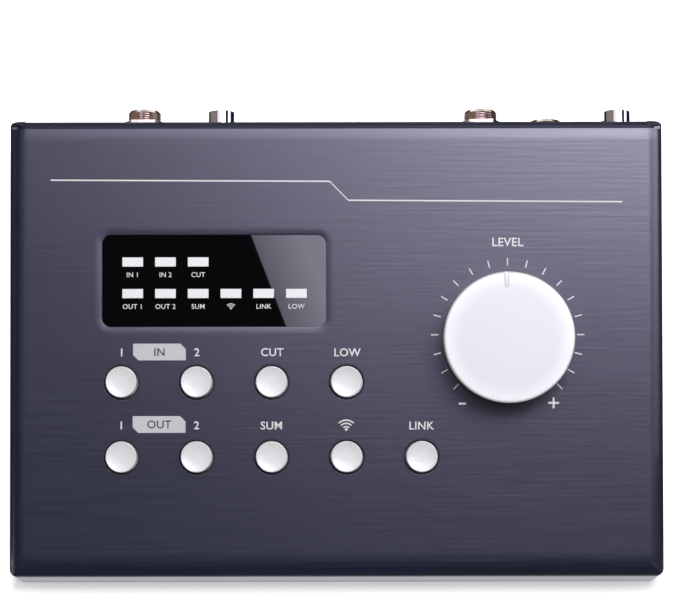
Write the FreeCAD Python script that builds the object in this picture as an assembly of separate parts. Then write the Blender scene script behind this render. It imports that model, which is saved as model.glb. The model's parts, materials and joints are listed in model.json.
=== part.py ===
import FreeCAD, Part
import math
import os
from FreeCAD import Placement, Rotation, Vector

# Desktop studio monitor controller: a wedge-shaped box of bent sheet steel
# with a turned volume knob, nine push buttons and an indicator window on its
# sloped panel, and the sockets and power switch on its rear wall.
#
# World frame: X to the right, Y to the rear, Z up, millimetres.  The feet
# stand on Z = 0 and the whole object is centred on X = 0, Y = 0.
# Panel frame: u to the right, v up the slope, w out of the panel, with its
# origin in the middle of the panel's outer face.

# ---------------------------------------------------------------- case
CASE_WIDTH = 210.0
PANEL_DEPTH = 146.3          # along the slope, front corner to rear corner
PANEL_SLOPE = 7.0            # degrees
FRONT_HEIGHT = 26.0          # case bottom to the front corner
SHEET = 1.5
BEND_RADIUS = 5.0            # outer radius of the cover's bends
CORNER_RADIUS = 3.0          # cover's upright corners, outside
TRAY_BEND_RADIUS = 2.0
TRAY_BEND_INSIDE = 0.5
COVER_REAR_GAP = 0.2         # cover's side walls to the rear wall
COVER_REAR_BAND = 2.9        # cover's rear edge to the rear corner, along the slope
REAR_RIM_RADIUS = 1.2        # rear wall's edges at its two ends
TRAY_SIDE_GAP = 0.2          # cover's inside to the tray's flanges
REAR_LIP_LENGTH = 11.0       # tray's top lip under the cover
LIP_CORNER_LENGTH = 4.5      # the same at its two bent ends
SIDE_FLANGE_DROP = 11.0      # panel's face down to the side flange's edge
FRONT_FLANGE_HEIGHT = 11.0
FLANGE_END_GAP = 6.0
CORNER_INSIDE = 0.2          # least radius of an upright corner's inside
CUT_OVER = 1.0               # how far a cutting shape passes a face
CUT_FAR = 40.0               # how far a cutting shape passes the case

# ---------------------------------------------------------------- feet
FOOT_HEIGHT = 4.0
FOOT_RADIUS = 7.0
FOOT_EDGE = 0.8
FOOT_INSET_X = 17.0
FOOT_INSET_Y = 15.0
FOOT_RECESS_RADIUS = 3.4
FOOT_RECESS_DEPTH = 2.4

# ---------------------------------------------------------------- screws
M3_RADIUS = 1.5
M3_HEAD_RADIUS = 2.8
M3_HEAD_HEIGHT = 1.8
M3_HEX_RADIUS = 1.15
M4_RADIUS = 2.0
M4_HEAD_RADIUS = 3.8
M4_HEAD_HEIGHT = 1.3
M4_HEX_RADIUS = 1.45
HEX_DEPTH = 1.1
THREAD_FIT = 0.02            # screw to the hole that it is screwed into
HOLE_FIT = 0.25              # screw to the hole that it passes through
SIDE_SCREW_V = (25.0, -37.5)
SIDE_SCREW_DROP = 17.0
SIDE_SCREW_LENGTH = 6.0
FOOT_SCREW_LENGTH = 5.5

# ---------------------------------------------------------------- window
WINDOW_INSET = 29.8          # case's left edge to the window
WINDOW_V = 21.4
WINDOW_WIDTH = 71.9
WINDOW_HEIGHT = 29.6
WINDOW_RADIUS = 3.0
LENS_FIT = 0.2
LENS_RECESS = 0.5
LENS_FLANGE = 2.8            # how far the flange reaches under the cover
LENS_FLANGE_THICKNESS = 1.5
BAR_WIDTH = 6.6
BAR_HEIGHT = 2.9
BAR_FIT = 0.05
BAR_PITCH = 10.5
BAR_INSET = 9.9              # window's left edge to the first bar's middle
BAR_RISE = (6.1, -4.05)      # window's middle to the middle of each row
BARS_IN_ROW = (3, 6)
GUIDE_WEB = 1.2
GUIDE_WEB_EDGE = 4.0
LED_SIZE = (3.2, 2.0, 1.2)
LED_GAP = 0.3

# ---------------------------------------------------------------- buttons
BUTTON_PITCH = 24.02
BUTTON_INSET = 36.2          # case's left edge to the first button's axis
BUTTON_ROW_V = (-11.0, -34.95)
ROW_NAMES = (
    ("in_1", "in_2", "cut", "low"),
    ("out_1", "out_2", "sum", "wireless", "link"),
)
BUTTON_RADIUS = 5.2
BUTTON_HOLE_FIT = 0.3
BUTTON_PROUD = 2.8
BUTTON_EDGE = 0.5
BUTTON_TRAVEL = 1.0
BUTTON_PLAY = 0.4            # flange to the cover's underside at rest
BUTTON_FLANGE_RADIUS = 6.3
BUTTON_FLANGE_THICKNESS = 1.2
BUTTON_NECK_RADIUS = 3.0
BUTTON_STOP_GAP = 0.4        # flange to the guide plate when pressed
GUIDE_PLATE = 1.2
GUIDE_FIT = 0.3
GUIDE_MARGIN = 7.8
GUIDE_LEG_RADIUS = 2.0
NECK_LENGTH = 2.2            # neck below the guide plate's top face, at rest
STEM_RADIUS = 1.6
STEM_FIT = 0.02
STEM_BORE_FIT = 0.3
STEM_GRIP = 1.8              # stem inside the cap's neck
STEM_REACH = 2.6             # stem inside the switch, at rest
SWITCH_SIZE = 6.2
SWITCH_FLOOR = 0.8
NECK_GAP = 0.4               # neck to the switch when pressed

# ---------------------------------------------------------------- control board
BOARD = 1.6
SWITCH_HEIGHT = 4.5
CONTROL_INSET_LEFT = 20.0    # case's edges to the board's
CONTROL_INSET_RIGHT = 23.0
CONTROL_INSET_FRONT = 29.5
CONTROL_INSET_REAR = 32.5
SPACER_RADIUS = 2.6
SPACER_INSET = 3.5           # board's edge to a spacer's axis
SPACER_GAP = 9.0             # lens flange or guide plate to the axis of the spacer beside it
BOARD_SCREW_LENGTH = 5.0

# ---------------------------------------------------------------- knob
KNOB_INSET = 50.4            # case's right edge to the axis
KNOB_V = 2.8
KNOB_FACE_RADIUS = 20.85
KNOB_BASE_RADIUS = 20.4
KNOB_LIFT = 0.8              # knob to panel
KNOB_TOP = 16.6
KNOB_EDGE = 0.7
KNOB_WALL = 2.8
KNOB_CROWN = 3.8
KNOB_BOSS_RADIUS = 7.0
KNOB_REST_ANGLE = 2.7        # pointer's lean to the left of straight up
SHAFT_RADIUS = 3.0
SHAFT_RUN_FIT = 0.05
SHAFT_GRIP_FIT = 0.02
SHAFT_END_GAP = 0.3
POINTER_WIDTH = 1.1
POINTER_LENGTH = 4.4
POINTER_DEPTH = 0.8
POINTER_RIM = 0.1            # pointer's end to the flat of the face's edge
POINTER_FIT = 0.02
GRUB_RADIUS = 1.5
GRUB_LENGTH = 4.4
GRUB_HEIGHT = 8.0
GRUB_TIP_GAP = 0.05
POT_SIZE = 17.0
POT_HEIGHT = 9.0
POT_FLOOR = 2.0
POT_BUSH_RADIUS = 3.5
POT_BUSH_TOP = 2.9
POT_HOLE_FIT = 0.2
POT_WASHER_RADIUS = 6.0
POT_WASHER_THICKNESS = 0.5
POT_NUT_FLATS = 10.0
POT_NUT_THICKNESS = 1.9

# ---------------------------------------------------------------- main board
STANDOFF_HEIGHT = 3.5
STANDOFF_RADIUS = 3.0
MAIN_SIDE_GAP = 5.3          # board to the tray's side flange
MAIN_DEPTH = 78.0
MAIN_REAR_GAP = 0.3
STANDOFF_EDGE = 5.0          # board's front or left edge to a standoff's axis
STANDOFF_RIGHT_INSET = 16.5
STANDOFF_REAR_INSET = 34.0
STANDOFF_MIDDLE_X = 2.0
MAIN_SCREW_LENGTH = 4.5
SCREW_END_GAP = 0.3

# ---------------------------------------------------------------- rear sockets
ROW_PITCH = 15.5
ROW_BOARD_HEIGHT = 7.6       # main board's face up to the lower row
JACK_INSET_LEFT = 42.7       # case's left edge to the left pair
JACK_INSET_RIGHT = 58.0      # case's right edge to the right pair
SUB_JACK_INSET = 35.8        # case's right edge to the single jack
JACK_REACH = 5.6             # bush beyond the rear wall
JACK_THREAD_RADIUS = 5.4
JACK_THREAD_PITCH = 0.75
JACK_THREAD_DEPTH = 0.35
JACK_NOSE = 0.9
JACK_BORE_RADIUS = 3.25
JACK_SEAT = 1.5
JACK_HOLE_FIT = 0.2
JACK_HOUSING_WIDTH = 15.0
JACK_HOUSING_DEPTH = 24.0
JACK_HOUSING_RISE = 7.4
JACK_CHAMBER_RADIUS = 3.6
JACK_CHAMBER_DEPTH = 21.0
WASHER_RADIUS = 7.3
WASHER_THICKNESS = 0.5
NUT_FLATS = 13.6
NUT_THICKNESS = 1.2
PHONO_INSET_LEFT = 67.7
PHONO_INSET_RIGHT = 13.5
PHONO_REACH = 5.4
PHONO_RADIUS = 4.15
PHONO_WALL = 0.6
PHONO_ROOT_STEP = 0.2        # how much slimmer the shell is inside its housing
PHONO_COLLAR_RADIUS = 5.2
PHONO_COLLAR_PROUD = 0.6
PHONO_HOLE_FIT = 0.2
PHONO_SEAT = 3.0
PHONO_RECESS = 0.4
PHONO_PIN_RADIUS = 1.65
PHONO_PIN_FLOOR = 1.0
PHONO_HOUSING_WIDTH = 10.8
PHONO_HOUSING_DEPTH = 12.0
PHONO_HOUSING_RISE = 5.8
DC_X = -12.0
DC_RISE = 6.0
DC_BODY = (9.0, 14.0)
DC_RING_RADIUS = 4.1
DC_RING_PROUD = 0.3
DC_BORE_RADIUS = 3.1
DC_BORE_DEPTH = 10.0
DC_PIN_RADIUS = 1.05
DC_PIN_LENGTH = 8.5
DC_HOLE_FIT = 0.2

# ---------------------------------------------------------------- power switch
ROCKER_X = 14.0
ROCKER_Z = 27.0
BEZEL = (21.0, 15.0, 1.6)
BEZEL_CHAMFER = 0.5
FRAME_BODY = (18.8, 12.8, 12.0)
FRAME_CUTOUT_FIT = 0.2
FRAME_CAVITY = (16.6, 11.4, 8.0)
PADDLE_HALF_TIP = 7.2
PADDLE_HALF_WAIST = 7.6
PADDLE_HALF_ROOT = 6.5
PADDLE_HEIGHT = 10.8
PADDLE_TIP_OUT = 4.35        # pivot to the raised ends
PADDLE_MID_OUT = 3.0         # pivot to the hollow middle
PADDLE_ROOT_IN = 1.7
PADDLE_WAIST_OUT = 1.0
PIVOT_DEPTH = 2.6            # rear wall's outer face in to the pivot
PIVOT_RADIUS = 1.2
PIVOT_FIT = 0.05
PIVOT_LENGTH = 6.15
PIVOT_END_GAP = 0.1
ROCKER_TILT = 9.0
TERMINAL = (4.8, 0.8, 6.0)
TERMINAL_HALF_PITCH = 5.0

# ---------------------------------------------------------------- board parts
MODULE_SIZE = (24.0, 15.0, 2.6)
MODULE_X = -20.0
MODULE_INSET = 19.2          # main board's front edge to the module's middle
RELAY_SIZE = (10.0, 15.0, 10.0)
RELAY_PITCH = 16.0           # in the row of three that starts at the left jacks
RELAY_STEP = 13.0            # right jacks to the single relay
RELAY_Y = 30.0
CAPACITOR_RADIUS = 4.0
CAPACITOR_HEIGHT = 11.0
CAPACITOR_X = (-8.0, 2.0, 12.0)
CAPACITOR_Y = 44.0
RIBBON_INSET = 45.0          # case's right edge to the cable's middle
RIBBON_V = 29.0
RIBBON_WIDTH = 20.0
RIBBON_THICKNESS = 0.9
RIBBON_BOW = 1.8
SOCKET_SIZE = (25.0, 5.0, 5.0)

# ---------------------------------------------------------------- derived places
SLOPE = math.radians(PANEL_SLOPE)
CASE_DEPTH = PANEL_DEPTH * math.cos(SLOPE)
Y_FRONT = -(CASE_DEPTH + JACK_REACH) / 2
Y_REAR = Y_FRONT + CASE_DEPTH
Y_REAR_INSIDE = Y_REAR - SHEET
Z_BASE = FOOT_HEIGHT
Z_FLOOR = Z_BASE + SHEET
Z_FRONT_TOP = Z_BASE + FRONT_HEIGHT
PANEL_MIDDLE = Vector(
    0,
    Y_FRONT + CASE_DEPTH / 2,
    Z_FRONT_TOP + PANEL_DEPTH / 2 * math.sin(SLOPE),
)
PANEL_PLACE = Placement(PANEL_MIDDLE, Rotation(Vector(1, 0, 0), PANEL_SLOPE))
HALF_WIDTH = CASE_WIDTH / 2
TRAY_HALF_WIDTH = HALF_WIDTH - SHEET - TRAY_SIDE_GAP
REAR_V = PANEL_DEPTH / 2

WINDOW_U = WINDOW_INSET + WINDOW_WIDTH / 2 - HALF_WIDTH
BAR_FIRST_U = WINDOW_U - WINDOW_WIDTH / 2 + BAR_INSET
BAR_ROW_V = [WINDOW_V + rise for rise in BAR_RISE]
BUTTON_FIRST_U = BUTTON_INSET - HALF_WIDTH
KNOB_U = HALF_WIDTH - KNOB_INSET
CONTROL_U = (CONTROL_INSET_LEFT - HALF_WIDTH, HALF_WIDTH - CONTROL_INSET_RIGHT)
CONTROL_V = (CONTROL_INSET_FRONT - REAR_V, REAR_V - CONTROL_INSET_REAR)

W_FLANGE_TOP = -SHEET - BUTTON_PLAY
W_FLANGE_LOW = W_FLANGE_TOP - BUTTON_FLANGE_THICKNESS
W_GUIDE_TOP = W_FLANGE_LOW - BUTTON_TRAVEL - BUTTON_STOP_GAP
W_GUIDE_LOW = W_GUIDE_TOP - GUIDE_PLATE
W_NECK_LOW = W_GUIDE_TOP - NECK_LENGTH
W_SWITCH_TOP = W_NECK_LOW - BUTTON_TRAVEL - NECK_GAP
W_BOARD_TOP = W_SWITCH_TOP - SWITCH_HEIGHT
W_BOARD_LOW = W_BOARD_TOP - BOARD
W_LENS_BACK = -SHEET - LENS_FLANGE_THICKNESS
W_POT_TOP = W_BOARD_TOP + POT_HEIGHT

Z_MAIN_LOW = Z_FLOOR + STANDOFF_HEIGHT
Z_MAIN_TOP = Z_MAIN_LOW + BOARD
Z_ROW_LOW = Z_MAIN_TOP + ROW_BOARD_HEIGHT
Z_ROW_HIGH = Z_ROW_LOW + ROW_PITCH
Y_MAIN_REAR = Y_REAR_INSIDE - MAIN_REAR_GAP
Y_MAIN_FRONT = Y_MAIN_REAR - MAIN_DEPTH
MAIN_HALF_WIDTH = TRAY_HALF_WIDTH - SHEET - MAIN_SIDE_GAP
JACK_X = (JACK_INSET_LEFT - HALF_WIDTH, HALF_WIDTH - JACK_INSET_RIGHT)
SUB_JACK_X = HALF_WIDTH - SUB_JACK_INSET
PHONO_X = (PHONO_INSET_LEFT - HALF_WIDTH, HALF_WIDTH - PHONO_INSET_RIGHT)
RELAY_X = [JACK_X[0] + k * RELAY_PITCH for k in range(3)] + [JACK_X[1] - RELAY_STEP]
RIBBON_X = HALF_WIDTH - RIBBON_INSET
JACK_PLACES = [(x, z) for x in JACK_X for z in (Z_ROW_HIGH, Z_ROW_LOW)] + [(SUB_JACK_X, Z_ROW_LOW)]
PHONO_PLACES = [(x, z) for x in PHONO_X for z in (Z_ROW_HIGH, Z_ROW_LOW)]
Z_DC = Z_MAIN_TOP + DC_RISE


# ---------------------------------------------------------------- helpers
def block(x0, x1, y0, y1, z0, z1):
    return Part.makeBox(x1 - x0, y1 - y0, z1 - z0, Vector(x0, y0, z0))


def slab(x, y, width, depth, z0, z1):
    return block(x - width / 2, x + width / 2, y - depth / 2, y + depth / 2, z0, z1)


def post(radius, z0, z1, x=0.0, y=0.0):
    return Part.makeCylinder(radius, z1 - z0, Vector(x, y, z0))


def rear_rod(radius, y0, y1, x, z):
    return Part.makeCylinder(radius, y1 - y0, Vector(x, y0, z), Vector(0, 1, 0))


def turned(points):
    """Solid of revolution about Z from (radius, height) points."""
    corners = [Vector(r, 0, z) for r, z in points]
    return Part.Face(Part.makePolygon(corners + corners[:1])).revolve(Vector(), Vector(0, 0, 1), 360)


def prism_x(points, x0, x1):
    """Solid from (y, z) points, drawn out along X."""
    corners = [Vector(x0, y, z) for y, z in points]
    return Part.Face(Part.makePolygon(corners + corners[:1])).extrude(Vector(x1 - x0, 0, 0))


def hexagon(flats, z0, z1):
    radius = flats / math.sqrt(3)
    turns = [k * math.pi / 3 for k in range(6)]
    corners = [Vector(radius * math.cos(turn), radius * math.sin(turn), z0) for turn in turns]
    return Part.Face(Part.makePolygon(corners + corners[:1])).extrude(Vector(0, 0, z1 - z0))


def fused(shapes):
    return shapes[0].multiFuse(shapes[1:]).removeSplitter() if len(shapes) > 1 else shapes[0]


def placed(shape, place):
    moved = shape.copy()
    moved.Placement = place.multiply(moved.Placement)
    return moved


def shifted(shape, x, y, z):
    return placed(shape, Placement(Vector(x, y, z), Rotation()))


def on_panel(shape):
    return placed(shape, PANEL_PLACE)


def to_rear(shape, x, z, y=None):
    """Turn a shape whose Z axis is its own so that it points out of the rear wall."""
    return placed(shape, Placement(Vector(x, Y_REAR if y is None else y, z), Rotation(Vector(1, 0, 0), -90)))


def along_x(edge):
    a, b = edge.Vertexes[0].Point, edge.Vertexes[-1].Point
    return abs(a.y - b.y) < 1e-6 and abs(a.z - b.z) < 1e-6 and abs(a.x - b.x) > 1


def along_z(edge):
    a, b = edge.Vertexes[0].Point, edge.Vertexes[-1].Point
    return abs(a.y - b.y) < 1e-6 and abs(a.x - b.x) < 1e-6 and abs(a.z - b.z) > 1e-3


def rounded_slab(x, y, width, depth, z0, z1, radius):
    body = slab(x, y, width, depth, z0, z1)
    return body.makeFillet(radius, [edge for edge in body.Edges if along_z(edge)])


def panel_z(y, depth=0.0):
    """Height of the plane `depth` below the panel's face, above y."""
    return Z_FRONT_TOP + (y - Y_FRONT) * math.tan(SLOPE) - depth / math.cos(SLOPE)


def save(name, shapes):
    solids = shapes if isinstance(shapes, list) else [shapes]
    shape = solids[0] if len(solids) == 1 else Part.makeCompound(solids)
    shape.exportStep("parts/" + name + ".step")


# ---------------------------------------------------------------- screws
def button_head(radius, head_radius, head_height, hex_radius, length):
    """Hex-socket screw along Z: the head's seat at 0, the thread downwards."""
    dome_radius = (head_radius ** 2 + head_height ** 2) / (2 * head_height)
    dome = Part.makeSphere(dome_radius, Vector(0, 0, head_height - dome_radius))
    head = post(head_radius, 0, head_height).common(dome)
    shank = post(radius, -length, 0)
    socket = hexagon(hex_radius * math.sqrt(3), head_height - HEX_DEPTH, head_height + 1)
    return fused([head, shank]).cut(socket)


def m3_screw(length):
    return button_head(M3_RADIUS, M3_HEAD_RADIUS, M3_HEAD_HEIGHT, M3_HEX_RADIUS, length)


def m4_screw(length):
    return button_head(M4_RADIUS, M4_HEAD_RADIUS, M4_HEAD_HEIGHT, M4_HEX_RADIUS, length)


def side_screw_places():
    """(side, y, z) of each screw through the cover's side walls."""
    places = []
    for v in SIDE_SCREW_V:
        point = PANEL_PLACE.multVec(Vector(0, v, -SIDE_SCREW_DROP))
        places += [(side, point.y, point.z) for side in (-1, 1)]
    return places


def side_rod(radius, side, y, z, reach):
    """Rod inwards from a side wall's outer face."""
    start = Vector(side * (HALF_WIDTH + CUT_OVER), y, z)
    return Part.makeCylinder(radius, reach + CUT_OVER, start, Vector(-side, 0, 0))


def foot_places():
    """Name and (x, y) of each foot."""
    front, rear = Y_FRONT + FOOT_INSET_Y, Y_REAR - FOOT_INSET_Y
    right = HALF_WIDTH - FOOT_INSET_X
    return {
        "foot_front_left": (-right, front),
        "foot_front_right": (right, front),
        "foot_rear_left": (-right, rear),
        "foot_rear_right": (right, rear),
    }


# ---------------------------------------------------------------- buttons and bars
def button_places():
    """Name and (u, v) of each push button."""
    places = {}
    for row, names in enumerate(ROW_NAMES):
        for column, name in enumerate(names):
            places[name] = (BUTTON_FIRST_U + column * BUTTON_PITCH, BUTTON_ROW_V[row])
    return places


def bar_places():
    """(u, v) of each indicator bar."""
    return [
        (BAR_FIRST_U + k * BAR_PITCH, v)
        for v, count in zip(BAR_ROW_V, BARS_IN_ROW) for k in range(count)
    ]


def spacer_places():
    """(u, v) of each spacer between the cover and the control board."""
    left, right = CONTROL_U[0] + SPACER_INSET, CONTROL_U[1] - SPACER_INSET
    front, rear = CONTROL_V[0] + SPACER_INSET, CONTROL_V[1] - SPACER_INSET
    last_button_u = BUTTON_FIRST_U + (len(ROW_NAMES[1]) - 1) * BUTTON_PITCH
    by_window = WINDOW_U + WINDOW_WIDTH / 2 + LENS_FLANGE + SPACER_GAP
    by_guide = last_button_u + GUIDE_MARGIN + SPACER_GAP
    return [(left, rear), (by_window, rear), (right, rear), (left, front), (by_guide, front), (right, front)]


# ---------------------------------------------------------------- case
def case_block(inset):
    """The wedge with its bends, each face moved in by `inset`; longer than
    the case at the bottom and the rear when it is moved in."""
    over = 0.0 if inset == 0 else CUT_FAR
    half = HALF_WIDTH - inset
    front, rear = Y_FRONT + inset, Y_REAR + over
    low = Z_BASE - over
    side_view = [(front, low), (front, panel_z(front, inset)), (rear, panel_z(rear, inset)), (rear, low)]
    wedge = prism_x(side_view, -half, half)
    front_edge = [
        edge for edge in wedge.Edges
        if along_x(edge) and abs(edge.Vertexes[0].Y - front) < 1e-6 and edge.Vertexes[0].Z > low + 1
    ]
    wedge = wedge.makeFillet(BEND_RADIUS - inset, front_edge)
    upright = block(-half, half, front, rear + over + CUT_OVER, low - CUT_OVER, panel_z(rear) + CUT_OVER)
    corners = [edge for edge in upright.Edges if along_z(edge) and edge.Vertexes[0].Y < front + 1e-6]
    upright = upright.makeFillet(max(CORNER_RADIUS - inset, CORNER_INSIDE), corners)
    return wedge.common(bent_block(half, -inset, BEND_RADIUS - inset)).common(upright)


def bent_block(half, top, radius):
    """Long block under the plane w = top, its two upper edges rounded along the slope."""
    reach = PANEL_DEPTH
    low = -2 * (FRONT_HEIGHT + PANEL_DEPTH * math.sin(SLOPE))
    body = block(-half, half, -reach, reach, low, top)
    edges = [
        edge for edge in body.Edges
        if abs(edge.Vertexes[0].Z - top) < 1e-6 and abs(edge.Vertexes[1].Z - top) < 1e-6
        and abs(edge.Vertexes[0].X - edge.Vertexes[1].X) < 1e-6
    ]
    return on_panel(body.makeFillet(radius, edges))


def top_cover():
    shell = case_block(0.0).cut(case_block(SHEET))
    wall_end = Y_REAR_INSIDE - COVER_REAR_GAP
    behind_wall = block(-CASE_WIDTH, CASE_WIDTH, wall_end, wall_end + CUT_FAR, 0, panel_z(Y_REAR) + CUT_FAR)
    rear_cut = on_panel(block(
        -CASE_WIDTH, CASE_WIDTH, REAR_V - COVER_REAR_BAND, REAR_V + CUT_FAR, -SHEET - CUT_OVER, CUT_FAR,
    ))
    holes = [
        rounded_slab(
            WINDOW_U, WINDOW_V, WINDOW_WIDTH, WINDOW_HEIGHT, -SHEET - CUT_OVER, CUT_OVER, WINDOW_RADIUS,
        ),
        post(POT_BUSH_RADIUS + POT_HOLE_FIT, -SHEET - CUT_OVER, CUT_OVER, KNOB_U, KNOB_V),
    ]
    holes += [
        post(BUTTON_RADIUS + BUTTON_HOLE_FIT, -SHEET - CUT_OVER, CUT_OVER, u, v)
        for u, v in button_places().values()
    ]
    holes = [on_panel(hole) for hole in holes] + [behind_wall, rear_cut]
    holes += [
        side_rod(M4_RADIUS + HOLE_FIT, side, y, z, SHEET + CUT_OVER) for side, y, z in side_screw_places()
    ]
    return shell.cut(Part.makeCompound(holes))


def chassis_tray():
    lip_v = REAR_V - REAR_LIP_LENGTH
    lip_top = PANEL_PLACE.multVec(Vector(0, lip_v, -SHEET))
    lip_low = PANEL_PLACE.multVec(Vector(0, lip_v, -2 * SHEET))
    front = Y_FRONT + SHEET + TRAY_SIDE_GAP
    section = [
        (front, Z_BASE),
        (Y_REAR, Z_BASE),
        (Y_REAR, panel_z(Y_REAR, SHEET)),
        (lip_top.y, lip_top.z),
        (lip_low.y, lip_low.z),
        (Y_REAR_INSIDE, panel_z(Y_REAR_INSIDE, 2 * SHEET)),
        (Y_REAR_INSIDE, Z_FLOOR),
        (front, Z_FLOOR),
    ]
    bent = prism_x(section, -TRAY_HALF_WIDTH, TRAY_HALF_WIDTH)
    outer = [edge for edge in bent.Edges if along_x(edge) and edge.Vertexes[0].Y > Y_REAR - 1e-6]
    bent = bent.makeFillet(TRAY_BEND_RADIUS, outer)
    inner = [
        edge for edge in bent.Edges
        if along_x(edge) and abs(edge.Vertexes[0].Y - Y_REAR_INSIDE) < 1e-6
    ]
    bent = bent.makeFillet(TRAY_BEND_INSIDE, inner)
    corners = [edge for edge in bent.Edges if along_z(edge) and abs(edge.Vertexes[0].Y - front) < 1e-6]
    bent = bent.makeFillet(CORNER_RADIUS - SHEET, corners)
    wall = block(-HALF_WIDTH, HALF_WIDTH, Y_REAR_INSIDE, Y_REAR, Z_BASE, panel_z(Y_REAR))
    wall = wall.common(bent_block(HALF_WIDTH, -SHEET, BEND_RADIUS - SHEET))
    rim = [
        edge for edge in wall.Edges
        if all(abs(end.Y - Y_REAR) < 1e-6 for end in edge.Vertexes) and max(end.Z for end in edge.Vertexes) > Z_FLOOR
    ]
    wall = wall.makeFillet(REAR_RIM_RADIUS, rim)
    lip_half = HALF_WIDTH - BEND_RADIUS
    lip_zone = panel_z(Y_REAR, SHEET) - 2 * TRAY_BEND_RADIUS
    above = panel_z(Y_REAR) + CUT_OVER
    wall = wall.cut(block(-TRAY_HALF_WIDTH, TRAY_HALF_WIDTH, 0, CASE_DEPTH, 0, lip_zone))
    wall = wall.cut(block(-lip_half, lip_half, 0, CASE_DEPTH, 0, above))
    for x in (lip_half, -CASE_WIDTH):
        bent = bent.cut(block(x, x + CASE_WIDTH - lip_half, 0, CASE_DEPTH, lip_zone, above))
    lip_ends = block(-CASE_WIDTH, CASE_WIDTH, Y_REAR - LIP_CORNER_LENGTH, Y_REAR_INSIDE, lip_zone, above)
    end_radius = BEND_RADIUS - SHEET - TRAY_SIDE_GAP
    lip_ends = lip_ends.common(bent_block(TRAY_HALF_WIDTH, -SHEET, end_radius))
    lip_ends = lip_ends.cut(bent_block(TRAY_HALF_WIDTH - SHEET, -2 * SHEET, end_radius - SHEET))
    lip_ends = lip_ends.cut(block(-lip_half, lip_half, 0, CASE_DEPTH, 0, above))
    pieces = [bent, wall, lip_ends] + side_flanges(front) + [front_flange(front)]
    return fused(pieces).cut(Part.makeCompound(tray_holes()))


def side_flanges(front):
    y0, y1 = front + FLANGE_END_GAP, Y_REAR_INSIDE - FLANGE_END_GAP
    outline = [
        (y0, Z_BASE), (y1, Z_BASE),
        (y1, panel_z(y1, SIDE_FLANGE_DROP)), (y0, panel_z(y0, SIDE_FLANGE_DROP)),
    ]
    inside, outside = TRAY_HALF_WIDTH - SHEET, TRAY_HALF_WIDTH
    return [prism_x(outline, inside, outside), prism_x(outline, -outside, -inside)]


def front_flange(front):
    half = TRAY_HALF_WIDTH - FLANGE_END_GAP
    return block(-half, half, front, front + SHEET, Z_BASE, Z_BASE + FRONT_FLANGE_HEIGHT)


def tray_holes():
    y0, y1 = Y_REAR_INSIDE - CUT_OVER, Y_REAR + CUT_OVER
    holes = [rear_rod(JACK_THREAD_RADIUS + JACK_HOLE_FIT, y0, y1, x, z) for x, z in JACK_PLACES]
    holes += [rear_rod(PHONO_COLLAR_RADIUS + PHONO_HOLE_FIT, y0, y1, x, z) for x, z in PHONO_PLACES]
    holes.append(rear_rod(DC_RING_RADIUS + DC_HOLE_FIT, y0, y1, DC_X, Z_DC))
    half_x = FRAME_BODY[0] / 2 + FRAME_CUTOUT_FIT
    half_z = FRAME_BODY[1] / 2 + FRAME_CUTOUT_FIT
    holes.append(block(ROCKER_X - half_x, ROCKER_X + half_x, y0, y1, ROCKER_Z - half_z, ROCKER_Z + half_z))
    holes += [
        side_rod(M4_RADIUS + THREAD_FIT, side, y, z, 3 * SHEET + CUT_OVER)
        for side, y, z in side_screw_places()
    ]
    holes += [
        post(M3_RADIUS + THREAD_FIT, Z_BASE - CUT_OVER, Z_FLOOR + CUT_OVER, x, y)
        for x, y in foot_places().values()
    ]
    return holes


def foot():
    body = turned([
        (0, FOOT_HEIGHT), (FOOT_RADIUS, FOOT_HEIGHT), (FOOT_RADIUS - FOOT_EDGE, FOOT_EDGE),
        (FOOT_RADIUS - 2 * FOOT_EDGE, 0), (0, 0),
    ])
    recess = post(FOOT_RECESS_RADIUS, -CUT_OVER, FOOT_RECESS_DEPTH)
    hole = post(M3_RADIUS + HOLE_FIT, 0, FOOT_HEIGHT + CUT_OVER)
    return body.cut(recess).cut(hole)


def build_case():
    save("top_cover", top_cover())
    save("chassis_tray", chassis_tray())
    screw = m4_screw(SIDE_SCREW_LENGTH)
    save("side_screws", [
        placed(screw, Placement(Vector(side * HALF_WIDTH, y, z), Rotation(Vector(0, 1, 0), side * 90)))
        for side, y, z in side_screw_places()
    ])
    for name, (x, y) in foot_places().items():
        save(name, shifted(foot(), x, y, 0))
    upside_down = Rotation(Vector(1, 0, 0), 180)
    save("foot_screws", [
        placed(m3_screw(FOOT_SCREW_LENGTH), Placement(Vector(x, y, FOOT_RECESS_DEPTH), upside_down))
        for x, y in foot_places().values()
    ])


# ---------------------------------------------------------------- window
def window_lens():
    face = rounded_slab(
        WINDOW_U, WINDOW_V, WINDOW_WIDTH - 2 * LENS_FIT, WINDOW_HEIGHT - 2 * LENS_FIT,
        W_LENS_BACK, -LENS_RECESS, WINDOW_RADIUS - LENS_FIT,
    )
    flange = rounded_slab(
        WINDOW_U, WINDOW_V, WINDOW_WIDTH + 2 * LENS_FLANGE, WINDOW_HEIGHT + 2 * LENS_FLANGE,
        W_LENS_BACK, -SHEET, WINDOW_RADIUS + LENS_FLANGE,
    )
    slots = [
        slab(u, v, BAR_WIDTH + 2 * BAR_FIT, BAR_HEIGHT + 2 * BAR_FIT, W_LENS_BACK - CUT_OVER, 0)
        for u, v in bar_places()
    ]
    return fused([face, flange]).cut(Part.makeCompound(slots))


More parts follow.
